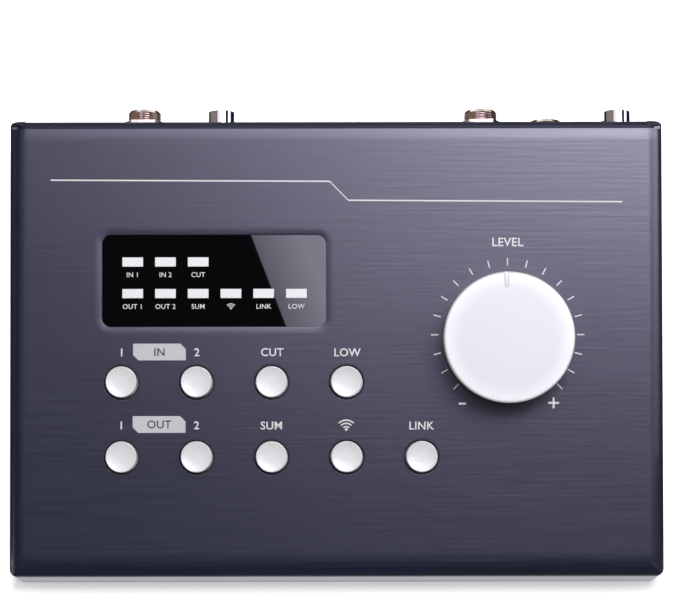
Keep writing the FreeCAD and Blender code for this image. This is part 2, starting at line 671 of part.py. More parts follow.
def light_guide():
    """Clear moulding: one bar up to the lens face for each lamp, joined by a web."""
    led_top = W_BOARD_TOP + LED_SIZE[2]
    bars = [
        slab(u, v, BAR_WIDTH, BAR_HEIGHT, led_top + LED_GAP, -LENS_RECESS)
        for u, v in bar_places()
    ]
    last_u = BAR_FIRST_U + (max(BARS_IN_ROW) - 1) * BAR_PITCH
    web = slab(
        (BAR_FIRST_U + last_u) / 2, sum(BAR_ROW_V) / 2,
        last_u - BAR_FIRST_U + BAR_WIDTH + GUIDE_WEB_EDGE,
        BAR_ROW_V[0] - BAR_ROW_V[1] + BAR_HEIGHT + GUIDE_WEB_EDGE,
        W_LENS_BACK - GUIDE_WEB, W_LENS_BACK,
    )
    return fused([web] + bars)


def build_window():
    save("window_lens", on_panel(window_lens()))
    save("light_guide", on_panel(light_guide()))
    save("indicator_leds", [
        on_panel(slab(u, v, LED_SIZE[0], LED_SIZE[1], W_BOARD_TOP, W_BOARD_TOP + LED_SIZE[2]))
        for u, v in bar_places()
    ])


# ---------------------------------------------------------------- buttons
def button_cap():
    """Cap on its own axis: face, skirt, retaining flange, neck and stem socket."""
    face_low = BUTTON_PROUD - BUTTON_EDGE
    cap = turned([
        (0, BUTTON_PROUD), (BUTTON_RADIUS - BUTTON_EDGE, BUTTON_PROUD), (BUTTON_RADIUS, face_low),
        (BUTTON_RADIUS, W_FLANGE_TOP), (BUTTON_FLANGE_RADIUS, W_FLANGE_TOP),
        (BUTTON_FLANGE_RADIUS, W_FLANGE_LOW), (BUTTON_NECK_RADIUS, W_FLANGE_LOW),
        (BUTTON_NECK_RADIUS, W_NECK_LOW), (0, W_NECK_LOW),
    ])
    return cap.cut(post(STEM_RADIUS + STEM_FIT, W_NECK_LOW - CUT_OVER, W_NECK_LOW + STEM_GRIP))


def switch_stem():
    return post(STEM_RADIUS, W_SWITCH_TOP - STEM_REACH, W_NECK_LOW + STEM_GRIP)


def switch_body():
    body = slab(0, 0, SWITCH_SIZE, SWITCH_SIZE, W_BOARD_TOP, W_SWITCH_TOP)
    return body.cut(post(STEM_RADIUS + STEM_BORE_FIT, W_BOARD_TOP + SWITCH_FLOOR, W_SWITCH_TOP + CUT_OVER))


def button_guide():
    """Plate on legs that keeps the button necks upright."""
    places = list(button_places().values())
    us = [u for u, v in places]
    vs = [v for u, v in places]
    plate = block(
        min(us) - GUIDE_MARGIN, max(us) + GUIDE_MARGIN, min(vs) - GUIDE_MARGIN, max(vs) + GUIDE_MARGIN,
        W_GUIDE_LOW, W_GUIDE_TOP,
    )
    middle_v = sum(BUTTON_ROW_V) / 2
    legs = [
        post(GUIDE_LEG_RADIUS, W_BOARD_TOP, W_GUIDE_LOW, BUTTON_FIRST_U + (k + 0.5) * BUTTON_PITCH, middle_v)
        for k in range(len(ROW_NAMES[1]) - 1)
    ]
    bores = [
        post(BUTTON_NECK_RADIUS + GUIDE_FIT, W_GUIDE_LOW - CUT_OVER, W_GUIDE_TOP + CUT_OVER, u, v)
        for u, v in places
    ]
    return fused([plate] + legs).cut(Part.makeCompound(bores))


def build_buttons():
    for name, (u, v) in button_places().items():
        save("button_" + name, on_panel(shifted(button_cap(), u, v, 0)))
        save("stem_" + name, on_panel(shifted(switch_stem(), u, v, 0)))
    save("switch_bodies", [
        on_panel(shifted(switch_body(), u, v, 0)) for u, v in button_places().values()
    ])
    save("button_guide", on_panel(button_guide()))


# ---------------------------------------------------------------- control board
def build_control_board():
    board = block(CONTROL_U[0], CONTROL_U[1], CONTROL_V[0], CONTROL_V[1], W_BOARD_LOW, W_BOARD_TOP)
    places = spacer_places()
    holes = [
        post(M3_RADIUS + HOLE_FIT, W_BOARD_LOW - CUT_OVER, W_BOARD_TOP + CUT_OVER, u, v) for u, v in places
    ]
    save("control_board", on_panel(board.cut(Part.makeCompound(holes))))
    hole_top = W_BOARD_LOW + BOARD_SCREW_LENGTH + SCREW_END_GAP
    spacer = post(SPACER_RADIUS, W_BOARD_TOP, -SHEET)
    spacer = spacer.cut(post(M3_RADIUS + THREAD_FIT, W_BOARD_TOP - CUT_OVER, hole_top))
    save("control_board_spacers", [on_panel(shifted(spacer, u, v, 0)) for u, v in places])
    upside_down = Rotation(Vector(1, 0, 0), 180)
    save("control_board_screws", [
        on_panel(placed(m3_screw(BOARD_SCREW_LENGTH), Placement(Vector(u, v, W_BOARD_LOW), upside_down)))
        for u, v in places
    ])


# ---------------------------------------------------------------- volume knob
def at_knob(shape):
    """Place a shape made on the knob's axis, turned to the knob's rest angle."""
    turn = Rotation(Vector(0, 0, 1), KNOB_REST_ANGLE)
    return on_panel(placed(shape, Placement(Vector(KNOB_U, KNOB_V, 0), turn)))


def pointer_bar(fit):
    """Bar let into the knob's face, its outer end near the rim."""
    outer = KNOB_FACE_RADIUS - KNOB_EDGE - POINTER_RIM
    half = POINTER_WIDTH / 2 + fit
    low = KNOB_TOP - POINTER_DEPTH - fit
    top = KNOB_TOP if fit == 0 else KNOB_TOP + CUT_OVER
    return block(-half, half, outer - POINTER_LENGTH - fit, outer + fit, low, top)


def volume_knob():
    ceiling = KNOB_TOP - KNOB_CROWN
    inside = KNOB_BASE_RADIUS - KNOB_WALL
    boss_low = POT_BUSH_TOP + SHAFT_END_GAP
    body = turned([
        (0, KNOB_TOP), (KNOB_FACE_RADIUS - KNOB_EDGE, KNOB_TOP),
        (KNOB_FACE_RADIUS, KNOB_TOP - KNOB_EDGE), (KNOB_BASE_RADIUS, KNOB_LIFT),
        (inside, KNOB_LIFT), (inside, ceiling), (KNOB_BOSS_RADIUS, ceiling),
        (KNOB_BOSS_RADIUS, boss_low), (0, boss_low),
    ])
    shaft_bore = post(SHAFT_RADIUS + SHAFT_GRIP_FIT, 0, ceiling + SHAFT_END_GAP)
    grub_bore = Part.makeCylinder(
        GRUB_RADIUS + THREAD_FIT, KNOB_BASE_RADIUS + CUT_OVER, Vector(0, 0, GRUB_HEIGHT), Vector(0, 1, 0)
    )
    return body.cut(shaft_bore).cut(grub_bore).cut(pointer_bar(POINTER_FIT))


def grub_screw():
    start = SHAFT_RADIUS + GRUB_TIP_GAP
    screw = Part.makeCylinder(GRUB_RADIUS, GRUB_LENGTH, Vector(0, start, GRUB_HEIGHT), Vector(0, 1, 0))
    socket = placed(
        hexagon(GRUB_RADIUS, 0, HEX_DEPTH + CUT_OVER),
        Placement(Vector(0, start + GRUB_LENGTH - HEX_DEPTH, GRUB_HEIGHT), Rotation(Vector(1, 0, 0), -90)),
    )
    return screw.cut(socket)


def pot_shaft():
    ceiling = KNOB_TOP - KNOB_CROWN
    return post(SHAFT_RADIUS, W_BOARD_TOP + POT_FLOOR + SHAFT_END_GAP, ceiling)


def pot_body():
    can = slab(0, 0, POT_SIZE, POT_SIZE, W_BOARD_TOP, W_POT_TOP)
    bush = post(POT_BUSH_RADIUS, W_POT_TOP, POT_BUSH_TOP)
    bore = post(SHAFT_RADIUS + SHAFT_RUN_FIT, W_BOARD_TOP + POT_FLOOR, POT_BUSH_TOP + CUT_OVER)
    return fused([can, bush]).cut(bore)


def pot_washer():
    ring = post(POT_WASHER_RADIUS, 0, POT_WASHER_THICKNESS)
    return ring.cut(post(POT_BUSH_RADIUS + POT_HOLE_FIT, -CUT_OVER, POT_WASHER_THICKNESS + CUT_OVER))


def pot_nut():
    top = POT_WASHER_THICKNESS + POT_NUT_THICKNESS
    nut = hexagon(POT_NUT_FLATS, POT_WASHER_THICKNESS, top)
    return nut.cut(post(POT_BUSH_RADIUS + THREAD_FIT, 0, top + CUT_OVER))


def build_knob():
    save("volume_knob", at_knob(volume_knob()))
    save("knob_pointer", at_knob(pointer_bar(0.0)))
    save("knob_grub_screw", at_knob(grub_screw()))
    save("pot_shaft", at_knob(pot_shaft()))
    for name, shape in (("pot_body", pot_body()), ("pot_washer", pot_washer()), ("pot_nut", pot_nut())):
        save(name, on_panel(shifted(shape, KNOB_U, KNOB_V, 0)))


# ---------------------------------------------------------------- rear sockets
def jack_bush():
    """Threaded bush on Z, the rear wall's outer face at 0."""
    crest, root = JACK_THREAD_RADIUS, JACK_THREAD_RADIUS - JACK_THREAD_DEPTH
    seat = -SHEET - JACK_SEAT
    thread_end = JACK_REACH - JACK_NOSE
    turns = int((thread_end - WASHER_THICKNESS) / JACK_THREAD_PITCH)
    start = thread_end - turns * JACK_THREAD_PITCH
    outline = [(JACK_BORE_RADIUS, seat), (crest, seat), (crest, start)]
    for turn in range(turns):
        height = start + turn * JACK_THREAD_PITCH
        outline.append((root, height + JACK_THREAD_PITCH / 2))
        outline.append((crest, height + JACK_THREAD_PITCH))
    outline += [(root - JACK_THREAD_DEPTH, JACK_REACH), (JACK_BORE_RADIUS, JACK_REACH)]
    return turned(outline)


def jack_housing(x, heights):
    half = JACK_HOUSING_WIDTH / 2
    top = max(heights) + JACK_HOUSING_RISE
    body = block(x - half, x + half, Y_REAR_INSIDE - JACK_HOUSING_DEPTH, Y_REAR_INSIDE, Z_MAIN_TOP, top)
    for z in heights:
        body = body.cut(rear_rod(JACK_THREAD_RADIUS + THREAD_FIT, Y_REAR_INSIDE - JACK_SEAT, Y_REAR, x, z))
        body = body.cut(rear_rod(JACK_CHAMBER_RADIUS, Y_REAR_INSIDE - JACK_CHAMBER_DEPTH, Y_REAR, x, z))
    return body


def jack_washer():
    ring = post(WASHER_RADIUS, 0, WASHER_THICKNESS)
    return ring.cut(post(JACK_THREAD_RADIUS + JACK_HOLE_FIT, -CUT_OVER, WASHER_THICKNESS + CUT_OVER))


def jack_nut():
    top = WASHER_THICKNESS + NUT_THICKNESS
    nut = hexagon(NUT_FLATS, WASHER_THICKNESS, top)
    return nut.cut(post(JACK_THREAD_RADIUS + THREAD_FIT, 0, top + CUT_OVER))


def phono_shell():
    """Barrel whose slimmer root sits in the housing, its step on the collar's face."""
    seat = -SHEET - PHONO_SEAT
    bore, root = PHONO_RADIUS - PHONO_WALL, PHONO_RADIUS - PHONO_ROOT_STEP
    return turned([
        (bore, seat), (root, seat), (root, PHONO_COLLAR_PROUD), (PHONO_RADIUS, PHONO_COLLAR_PROUD),
        (PHONO_RADIUS, PHONO_REACH), (bore, PHONO_REACH),
    ])


def phono_insulator():
    seat = -SHEET - PHONO_SEAT
    radius = PHONO_RADIUS - PHONO_WALL - THREAD_FIT
    bore = post(PHONO_PIN_RADIUS, seat + PHONO_PIN_FLOOR, PHONO_REACH)
    return post(radius, seat, PHONO_REACH - PHONO_RECESS).cut(bore)


def phono_housing(x):
    half = PHONO_HOUSING_WIDTH / 2
    top = Z_ROW_HIGH + PHONO_HOUSING_RISE
    body = block(x - half, x + half, Y_REAR_INSIDE - PHONO_HOUSING_DEPTH, Y_REAR_INSIDE, Z_MAIN_TOP, top)
    rows = (Z_ROW_HIGH, Z_ROW_LOW)
    face = Y_REAR + PHONO_COLLAR_PROUD
    collars = [rear_rod(PHONO_COLLAR_RADIUS, Y_REAR_INSIDE, face, x, z) for z in rows]
    root = PHONO_RADIUS - PHONO_ROOT_STEP
    seats = [rear_rod(root + THREAD_FIT, Y_REAR_INSIDE - PHONO_SEAT, face + CUT_OVER, x, z) for z in rows]
    return fused([body] + collars).cut(Part.makeCompound(seats))


def dc_socket():
    width, depth = DC_BODY
    body = block(
        DC_X - width / 2, DC_X + width / 2, Y_REAR_INSIDE - depth, Y_REAR_INSIDE,
        Z_MAIN_TOP, Z_DC + width / 2,
    )
    ring = rear_rod(DC_RING_RADIUS, Y_REAR_INSIDE, Y_REAR + DC_RING_PROUD, DC_X, Z_DC)
    mouth = Y_REAR + DC_RING_PROUD
    bore = rear_rod(DC_BORE_RADIUS, mouth - DC_BORE_DEPTH, mouth + CUT_OVER, DC_X, Z_DC)
    return fused([body, ring]).cut(bore)


def dc_pin():
    floor = Y_REAR + DC_RING_PROUD - DC_BORE_DEPTH
    return rear_rod(DC_PIN_RADIUS, floor, floor + DC_PIN_LENGTH, DC_X, Z_DC)


def build_sockets():
    housings = [jack_housing(x, (Z_ROW_HIGH, Z_ROW_LOW)) for x in JACK_X]
    save("jack_housings", housings + [jack_housing(SUB_JACK_X, (Z_ROW_LOW,))])
    jack_parts = (("jack_bushes", jack_bush()), ("jack_washers", jack_washer()), ("jack_nuts", jack_nut()))
    for name, shape in jack_parts:
        save(name, [to_rear(shape, x, z) for x, z in JACK_PLACES])
    save("phono_housings", [phono_housing(x) for x in PHONO_X])
    for name, shape in (("phono_shells", phono_shell()), ("phono_insulators", phono_insulator())):
        save(name, [to_rear(shape, x, z) for x, z in PHONO_PLACES])
    save("dc_socket", dc_socket())
    save("dc_pin", dc_pin())


# ---------------------------------------------------------------- power switch
def switch_frame():
    width, height, thick = BEZEL
    bezel = block(
        ROCKER_X - width / 2, ROCKER_X + width / 2, Y_REAR, Y_REAR + thick,
        ROCKER_Z - height / 2, ROCKER_Z + height / 2,
    )
    bezel = bezel.makeChamfer(BEZEL_CHAMFER, [
        edge for edge in bezel.Edges
        if edge.Vertexes[0].Y > Y_REAR + 1e-6 and edge.Vertexes[1].Y > Y_REAR + 1e-6
    ])
    width, height, depth = FRAME_BODY
    body = block(
        ROCKER_X - width / 2, ROCKER_X + width / 2, Y_REAR - depth, Y_REAR,
        ROCKER_Z - height / 2, ROCKER_Z + height / 2,
    )
    width, height, depth = FRAME_CAVITY
    cavity = block(
        ROCKER_X - width / 2, ROCKER_X + width / 2, Y_REAR - depth, Y_REAR + thick + CUT_OVER,
        ROCKER_Z - height / 2, ROCKER_Z + height / 2,
    )
    reach = PIVOT_LENGTH + PIVOT_END_GAP
    pivot = post(
        PIVOT_RADIUS + PIVOT_FIT, ROCKER_Z - reach, ROCKER_Z + reach, ROCKER_X, Y_REAR - PIVOT_DEPTH,
    )
    tabs = [
        block(
            ROCKER_X + side * TERMINAL_HALF_PITCH - TERMINAL[1] / 2,
            ROCKER_X + side * TERMINAL_HALF_PITCH + TERMINAL[1] / 2,
            Y_REAR - FRAME_BODY[2] - TERMINAL[2], Y_REAR - FRAME_BODY[2],
            ROCKER_Z - TERMINAL[0] / 2, ROCKER_Z + TERMINAL[0] / 2,
        )
        for side in (-1, 1)
    ]
    return fused([bezel, body] + tabs).cut(cavity).cut(pivot)


def power_rocker():
    """Paddle with a hollow face, drawn level about the pivot and then tilted."""
    low = -PADDLE_HEIGHT / 2
    tip = Vector(PADDLE_HALF_TIP, PADDLE_TIP_OUT, low)
    other_tip = Vector(-PADDLE_HALF_TIP, PADDLE_TIP_OUT, low)
    hollow = Part.Arc(other_tip, Vector(0, PADDLE_MID_OUT, low), tip).toShape()
    corners = [
        tip,
        Vector(PADDLE_HALF_WAIST, PADDLE_WAIST_OUT, low),
        Vector(PADDLE_HALF_ROOT, -PADDLE_ROOT_IN, low),
        Vector(-PADDLE_HALF_ROOT, -PADDLE_ROOT_IN, low),
        Vector(-PADDLE_HALF_WAIST, PADDLE_WAIST_OUT, low),
        other_tip,
    ]
    outline = Part.Wire([hollow] + Part.makePolygon(corners).Edges)
    paddle = Part.Face(outline).extrude(Vector(0, 0, PADDLE_HEIGHT))
    pins = post(PIVOT_RADIUS, -PIVOT_LENGTH, PIVOT_LENGTH)
    pivot = Vector(ROCKER_X, Y_REAR - PIVOT_DEPTH, ROCKER_Z)
    return placed(fused([paddle, pins]), Placement(pivot, Rotation(Vector(0, 0, 1), -ROCKER_TILT)))


def build_power_switch():
    save("power_switch_frame", switch_frame())
    save("power_rocker", power_rocker())


# ---------------------------------------------------------------- main board
def standoff_places():
    front = Y_MAIN_FRONT + STANDOFF_EDGE
    rear = Y_MAIN_REAR - STANDOFF_REAR_INSET
    left, right = STANDOFF_EDGE - MAIN_HALF_WIDTH, MAIN_HALF_WIDTH - STANDOFF_RIGHT_INSET
    return [(x, y) for x in (left, STANDOFF_MIDDLE_X, right) for y in (front, rear)]


def build_main_board():
    board = block(-MAIN_HALF_WIDTH, MAIN_HALF_WIDTH, Y_MAIN_FRONT, Y_MAIN_REAR, Z_MAIN_LOW, Z_MAIN_TOP)
    holes = [
        post(M3_RADIUS + HOLE_FIT, Z_MAIN_LOW - CUT_OVER, Z_MAIN_TOP + CUT_OVER, x, y)
        for x, y in standoff_places()
    ]
    save("main_board", board.cut(Part.makeCompound(holes)))
    standoff = post(STANDOFF_RADIUS, Z_FLOOR, Z_MAIN_LOW)
    hole_low = Z_MAIN_TOP - MAIN_SCREW_LENGTH - SCREW_END_GAP
    standoff = standoff.cut(post(M3_RADIUS + THREAD_FIT, hole_low, Z_MAIN_TOP))
    save("main_board_standoffs", [shifted(standoff, x, y, 0) for x, y in standoff_places()])
    save("main_board_screws", [
        shifted(m3_screw(MAIN_SCREW_LENGTH), x, y, Z_MAIN_TOP) for x, y in standoff_places()
    ])


def build_board_parts():
    width, depth, height = MODULE_SIZE
    y = Y_MAIN_FRONT + MODULE_INSET
    save("wireless_module", slab(MODULE_X, y, width, depth, Z_MAIN_TOP, Z_MAIN_TOP + height))
    width, depth, height = RELAY_SIZE
    save("relays", [slab(x, RELAY_Y, width, depth, Z_MAIN_TOP, Z_MAIN_TOP + height) for x in RELAY_X])
    save("capacitors", [
        post(CAPACITOR_RADIUS, Z_MAIN_TOP, Z_MAIN_TOP + CAPACITOR_HEIGHT, x, CAPACITOR_Y) for x in CAPACITOR_X
    ])


def build_ribbon():
    """Flat cable bowed between a socket under each board."""
    width, depth, height = SOCKET_SIZE
    upper = on_panel(slab(RIBBON_X, RIBBON_V, width, depth, W_BOARD_LOW - height, W_BOARD_LOW))
    half = RIBBON_THICKNESS / 2
    front_top, rear_top = [
        PANEL_PLACE.multVec(Vector(RIBBON_X - RIBBON_WIDTH / 2, v, W_BOARD_LOW - height))
        for v in (RIBBON_V - half, RIBBON_V + half)
    ]
    middle_y = (front_top.y + rear_top.y) / 2
    lower_top = Z_MAIN_TOP + height
    save("ribbon_sockets", [upper, slab(RIBBON_X, middle_y, width, depth, Z_MAIN_TOP, lower_top)])
    front_low = Vector(front_top.x, front_top.y, lower_top)
    rear_low = Vector(rear_top.x, rear_top.y, lower_top)
    sides = [
        Part.Arc(low, (low + top) / 2 - Vector(0, RIBBON_BOW, 0), top).toShape()
        for low, top in ((front_low, front_top), (rear_low, rear_top))
    ]
    ends = [Part.makeLine(front_low, rear_low), Part.makeLine(front_top, rear_top)]
    outline = Part.Wire(Part.__sortEdges__(sides + ends))
    save("ribbon_cable", Part.Face(outline).extrude(Vector(RIBBON_WIDTH, 0, 0)))


os.makedirs("parts", exist_ok=True)
build_case()
build_window()
build_buttons()
build_control_board()
build_knob()
build_sockets()
build_power_switch()
build_main_board()
build_board_parts()
build_ribbon()
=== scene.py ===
# %% [markdown]
# # A desk controller for studio loudspeakers
#
# This lesson dresses a finished construction model. The steel case, the boards, the sockets and
# the screws come from the frame and keep their shapes. Blender adds what a drawing leaves out:
# the turned knob with its soft rim, the dished button caps, the white print, and a finish for
# every surface. All lengths are in metres, so a measure in millimetres is times MM. Rings, words
# and sheets are listed in plain millimetres, and what reads the list does the multiplying.

# %% The construction model
import json
import math

import bpy
from mathutils import Matrix, Vector


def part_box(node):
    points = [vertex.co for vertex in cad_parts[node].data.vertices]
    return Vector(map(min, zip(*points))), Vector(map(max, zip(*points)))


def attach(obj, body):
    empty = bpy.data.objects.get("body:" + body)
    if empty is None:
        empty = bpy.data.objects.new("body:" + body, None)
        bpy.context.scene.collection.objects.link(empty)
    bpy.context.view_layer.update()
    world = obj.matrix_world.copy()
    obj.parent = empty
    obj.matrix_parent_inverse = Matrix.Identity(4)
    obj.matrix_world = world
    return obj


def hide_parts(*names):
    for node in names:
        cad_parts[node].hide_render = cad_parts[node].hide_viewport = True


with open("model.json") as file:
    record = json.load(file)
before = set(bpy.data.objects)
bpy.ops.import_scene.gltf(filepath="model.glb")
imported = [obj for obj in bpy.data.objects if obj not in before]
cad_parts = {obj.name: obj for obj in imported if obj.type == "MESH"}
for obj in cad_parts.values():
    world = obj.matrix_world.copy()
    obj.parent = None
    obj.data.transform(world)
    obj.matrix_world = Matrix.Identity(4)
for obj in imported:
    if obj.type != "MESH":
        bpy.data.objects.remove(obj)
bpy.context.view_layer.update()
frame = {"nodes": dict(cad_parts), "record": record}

MM = 0.001
bpy.ops.object.select_all(action="DESELECT")

# %% [markdown]
# The top panel slopes 7 degrees down to the user. Everything on it is easier to model lying
# flat, with X to the right, Y up the slope and Z out of the panel. PANEL is the matrix that
# carries such a flat piece to its place. Its middle is found from the boxes of the two sheets.

# %% Where the panel lies
SLOPE = math.radians(7.0)
FRONT_WALL = 26.0 * MM
cover_low, cover_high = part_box("top_cover")
_, tray_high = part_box("chassis_tray")
half_rise = (tray_high.y - cover_low.y) / 2 * math.tan(SLOPE)
panel_middle = Vector((0.0, (cover_low.y + tray_high.y) / 2,
                       cover_low.z + FRONT_WALL + half_rise))
PANEL = Matrix.Translation(panel_middle) @ Matrix.Rotation(SLOPE, 4, "X")
print("panel middle in mm:", [round(c / MM, 2) for c in panel_middle])

# %% [markdown]
# Finishes are node trees. A sum such as 1 - mask would take four lines with bare nodes, so one
# small class wraps a socket and lets Python's own signs add the Math nodes. Points and
# directions go through vector() instead. The method node() adds a node of any other type:
# settings first, then the values or wires of its sockets.

# %% A wire that can be added and multiplied
class Wire:
    """A shader socket. Each sum with it adds one Math node."""

    def __init__(self, tree, socket=None):
        self.tree = tree
        self.socket = socket

    def node(self, kind, settings=None, inputs=None, output=0):
        made = self.tree.nodes.new(kind)
        for name, value in (settings or {}).items():
            setattr(made, name, value)
        for name, value in (inputs or {}).items():
            if isinstance(value, Wire):
                self.tree.links.new(value.socket, made.inputs[name])
            else:
                made.inputs[name].default_value = value
        return Wire(self.tree, made.outputs[output])

    def maths(self, operation, *values):
        return self.node("ShaderNodeMath", {"operation": operation}, dict(enumerate(values)))

    def vector(self, operation, *values, output="Vector"):
        return self.node("ShaderNodeVectorMath", {"operation": operation},
                         dict(enumerate(values)), output)

    def __add__(self, other):
        return self.maths("ADD", self, other)

    def __sub__(self, other):
        return self.maths("SUBTRACT", self, other)

    def __rsub__(self, other):
        return self.maths("SUBTRACT", other, self)

    def __mul__(self, other):
        return self.maths("MULTIPLY", self, other)

    def __truediv__(self, other):
        return self.maths("DIVIDE", self, other)

    def __rtruediv__(self, other):
        return self.maths("DIVIDE", other, self)

    def __pow__(self, other):
        return self.maths("POWER", self, other)

    def __rpow__(self, other):
        return self.maths("POWER", other, self)

    __radd__ = __add__
    __rmul__ = __mul__


print("a Wire can be used in sums")

# %% [markdown]
# Nearly every finish here is one idea with other numbers: a base colour, and a noise whose grain
# shifts the colour a little, the roughness a little and the height by a few thousandths of a
# millimetre. Stretching the noise along one axis turns moulded grain into brushed metal. Two
# noises are read, a fine one for the grain and a broad one for the slow unevenness of a real
# coat, and both read Object coordinates, so the pattern stays on the piece when it moves.

# %% One recipe for grained finishes
PATCHES = 35.0                      # broad patches per metre
DARKEST, LIGHTEST = 0.5, 1.5        # how far the noise can take a colour


def grained(name, colour, roughness, metallic=0.0, grain=(900, 900, 900), tint=0.06, spread=0.05,
            bump=0.002, patch=0.03, relief=None, painted_light=None, **constants):
    """A finish with grain lines per metre along X, Y and Z. Bump is a height in millimetres. Two
    functions of the place may be given: relief is a further height in metres, and the other is how
    much lighter the colour is painted at the place, a painted highlight, or painted shade where it
    is below zero."""
    material = bpy.data.materials.new(name)
    material.use_nodes = True
    tree = material.node_tree
    shader = tree.nodes["Principled BSDF"]
    start = Wire(tree)
    place = start.node("ShaderNodeTexCoord", output="Object")
    stretched = start.node("ShaderNodeMapping", inputs={"Vector": place, "Scale": grain})
    fine = start.node("ShaderNodeTexNoise", inputs={
        "Vector": stretched, "Scale": 1.0, "Detail": 3.0})
    broad = start.node("ShaderNodeTexNoise", inputs={
        "Vector": place, "Scale": PATCHES, "Detail": 2.0})
    grain_and_painted_light = (fine - 0.5) * tint * 2 + (broad - 0.5) * patch * 2 + 0.5
    # Painted light goes into the colour here: a painted highlight, or painted shade.
    if painted_light:
        grain_and_painted_light = grain_and_painted_light + painted_light(place)
    dark = (*[c * DARKEST for c in colour], 1.0)
    light = (*[min(c * LIGHTEST, 1.0) for c in colour], 1.0)
    # A Mix node keeps its colours in sockets 6 and 7 and the mixed one in output 2.
    shade = start.node("ShaderNodeMix", {"data_type": "RGBA"}, {0: grain_and_painted_light, 6: dark, 7: light}, 2)
    tree.links.new(shade.socket, shader.inputs["Base Color"])
    tree.links.new(((fine - 0.5) * spread * 2 + roughness).socket, shader.inputs["Roughness"])
    shader.inputs["Metallic"].default_value = metallic
    for socket, value in constants.items():
        shader.inputs[socket.replace("_", " ")].default_value = value
    if bump:
        height = fine * (bump * MM)
        if relief:
            height = height + relief(place)
        raised = start.node("ShaderNodeBump", inputs={
            "Height": height, "Strength": 1.0, "Distance": 1.0})
        tree.links.new(raised.socket, shader.inputs["Normal"])
    return material


print("grained() is ready")

# %% [markdown]
# The case is painted sheet steel. The coat is a dark slate blue, sprayed over steel that was
# brushed from side to side, so very fine lines run along X. It is a plain paint with a high
# specular level, like lacquer: its own colour stays dark and blue, and what brightens the panel
# is the room in its surface. A press brake never starts a bend as sharply as a drawing does: the
# last millimetres of the flat already lean over. The shears pull the rear edge down a little,
# and the punch does the same round the window. All of this is slight enough for relief: a height
# that falls with the square of the way past a line. Round the window the way is the distance
# from a rounded rectangle.

# %% Paint for the two sheets
BEND = 4.0 * MM
# Each lean is a width, and how far the sheet has fallen at the end of it.
LEAN_SIDE = (2.5 * MM, 0.10 * MM)
LEAN_FRONT = (3.5 * MM, 0.20 * MM)
LEAN_REAR = (5.0 * MM, 0.55 * MM)
LEAN_WINDOW = (2.5 * MM, 0.16 * MM)
WINDOW_AT, WINDOW_SIZE = Vector((-39.25, 21.4)) * MM, Vector((71.9, 29.6)) * MM
WINDOW_ROUND = 3.0 * MM


def leaning(along, start, lean):
    """The height of a sheet that begins to lean at the start."""
    width, fall = lean
    way = along.node("ShaderNodeMapRange", inputs={
        "Value": along, "From Min": start, "From Max": start + width})
    return way * way * -fall


def pressed(place):
    """The height that the press brake, the shears and the punch leave at this place."""
    x, y = (place.node("ShaderNodeSeparateXYZ", inputs={0: place}, output=axis) for axis in "XY")
    up_slope = (y - panel_middle.y) / math.cos(SLOPE)
    aside, above = (
        at.maths("MAXIMUM", at.maths("ABSOLUTE", at - middle) - (size / 2 - WINDOW_ROUND), 0.0)
        for at, middle, size in zip((x, up_slope), WINDOW_AT, WINDOW_SIZE))
    inwards = WINDOW_ROUND - (aside * aside + above * above) ** 0.5
    return (leaning(x * -1, cover_high.x - BEND - LEAN_SIDE[0], LEAN_SIDE)
            + leaning(y * -1, -cover_low.y - BEND - LEAN_FRONT[0], LEAN_FRONT)
            + leaning(y, cover_high.y - LEAN_REAR[0], LEAN_REAR)
            + leaning(inwards, -LEAN_WINDOW[0], LEAN_WINDOW))


case_paint = grained("slate_metallic_paint", (0.0114, 0.0136, 0.0345), 0.33,
                     grain=(40, 1100, 1100), tint=0.35, spread=0.03, bump=0.026, patch=0.05,
                     relief=pressed, Specular_IOR_Level=1.0)
tray_paint = grained("slate_paint_inner_sheet", (0.015, 0.017, 0.034), 0.5,
                     grain=(40, 1100, 1100), tint=0.35, spread=0.03, bump=0.012,
                     Specular_IOR_Level=0.2)
print("paints:", case_paint.name, tray_paint.name)

# %% [markdown]
# The bright parts are real metals, so their metallic value is one and their colour is the colour
# of the metal. What tells them apart is the roughness: a bead-blasted knob spreads the light, a
# nickel-plated nut mirrors it. The caps and the knob are blasted and clear anodised: the skin of
# oxide over the pits scatters most of the light like paint, so only part of them acts as metal.
# The knob is painted darker in the middle of its face and lighter over the outer third and the
# side: painted shade and a painted highlight, which stand for the bright room mirrored near the
# rim.

# %% Bright metals
METALS = {    # colour, roughness, grain, tint and bump
    "bright_nickel": ((0.62, 0.53, 0.48), 0.2, (900, 900, 900), 0.05, 0.0005),
    "bright_chrome": ((0.55, 0.55, 0.57), 0.06, (700, 700, 700), 0.03, 0.0003),
    "zinc_plate": ((0.62, 0.62, 0.58), 0.28, (1800, 1800, 1800), 0.10, 0.001),
    "nickelled_steel": ((0.62, 0.61, 0.59), 0.22, (1400, 1400, 1400), 0.06, 0.001),
    "tinned_can": ((0.58, 0.58, 0.56), 0.26, (200, 2400, 2400), 0.08, 0.0015),
    "blackened_steel": ((0.05, 0.05, 0.055), 0.38, (1600, 1600, 1600), 0.2, 0.001),
}
metal = {
    name: grained(name, colour, roughness, metallic=1.0, grain=grain, tint=tint, bump=bump)
    for name, (colour, roughness, grain, tint, bump) in METALS.items()
}
BLASTED = {   # colour, roughness, metallic, grain, tint and bump
    "satin_knob_aluminium": ((0.83, 0.82, 0.84), 0.48, 0.2, (1500, 1500, 1500), 0.02, 0.0015),
    "satin_cap_silver": ((0.92, 0.89, 0.91), 0.42, 0.15, (2400, 2400, 2400), 0.12, 0.004),
}
KNOB_AT = Vector((54.6, 2.8)) * MM
axis_foot, axis_along = PANEL @ Vector((*KNOB_AT, 0)), PANEL.to_3x3() @ Vector((0, 0, 1))
RING_FROM, RING_TO = 14.5 * MM, 20.5 * MM
# Painted shade for the middle of the knob's face, and a painted highlight for its outer third and
# side.
MIDDLE_PAINTED_SHADE, RIM_PAINTED_HIGHLIGHT = -0.09, 0.13


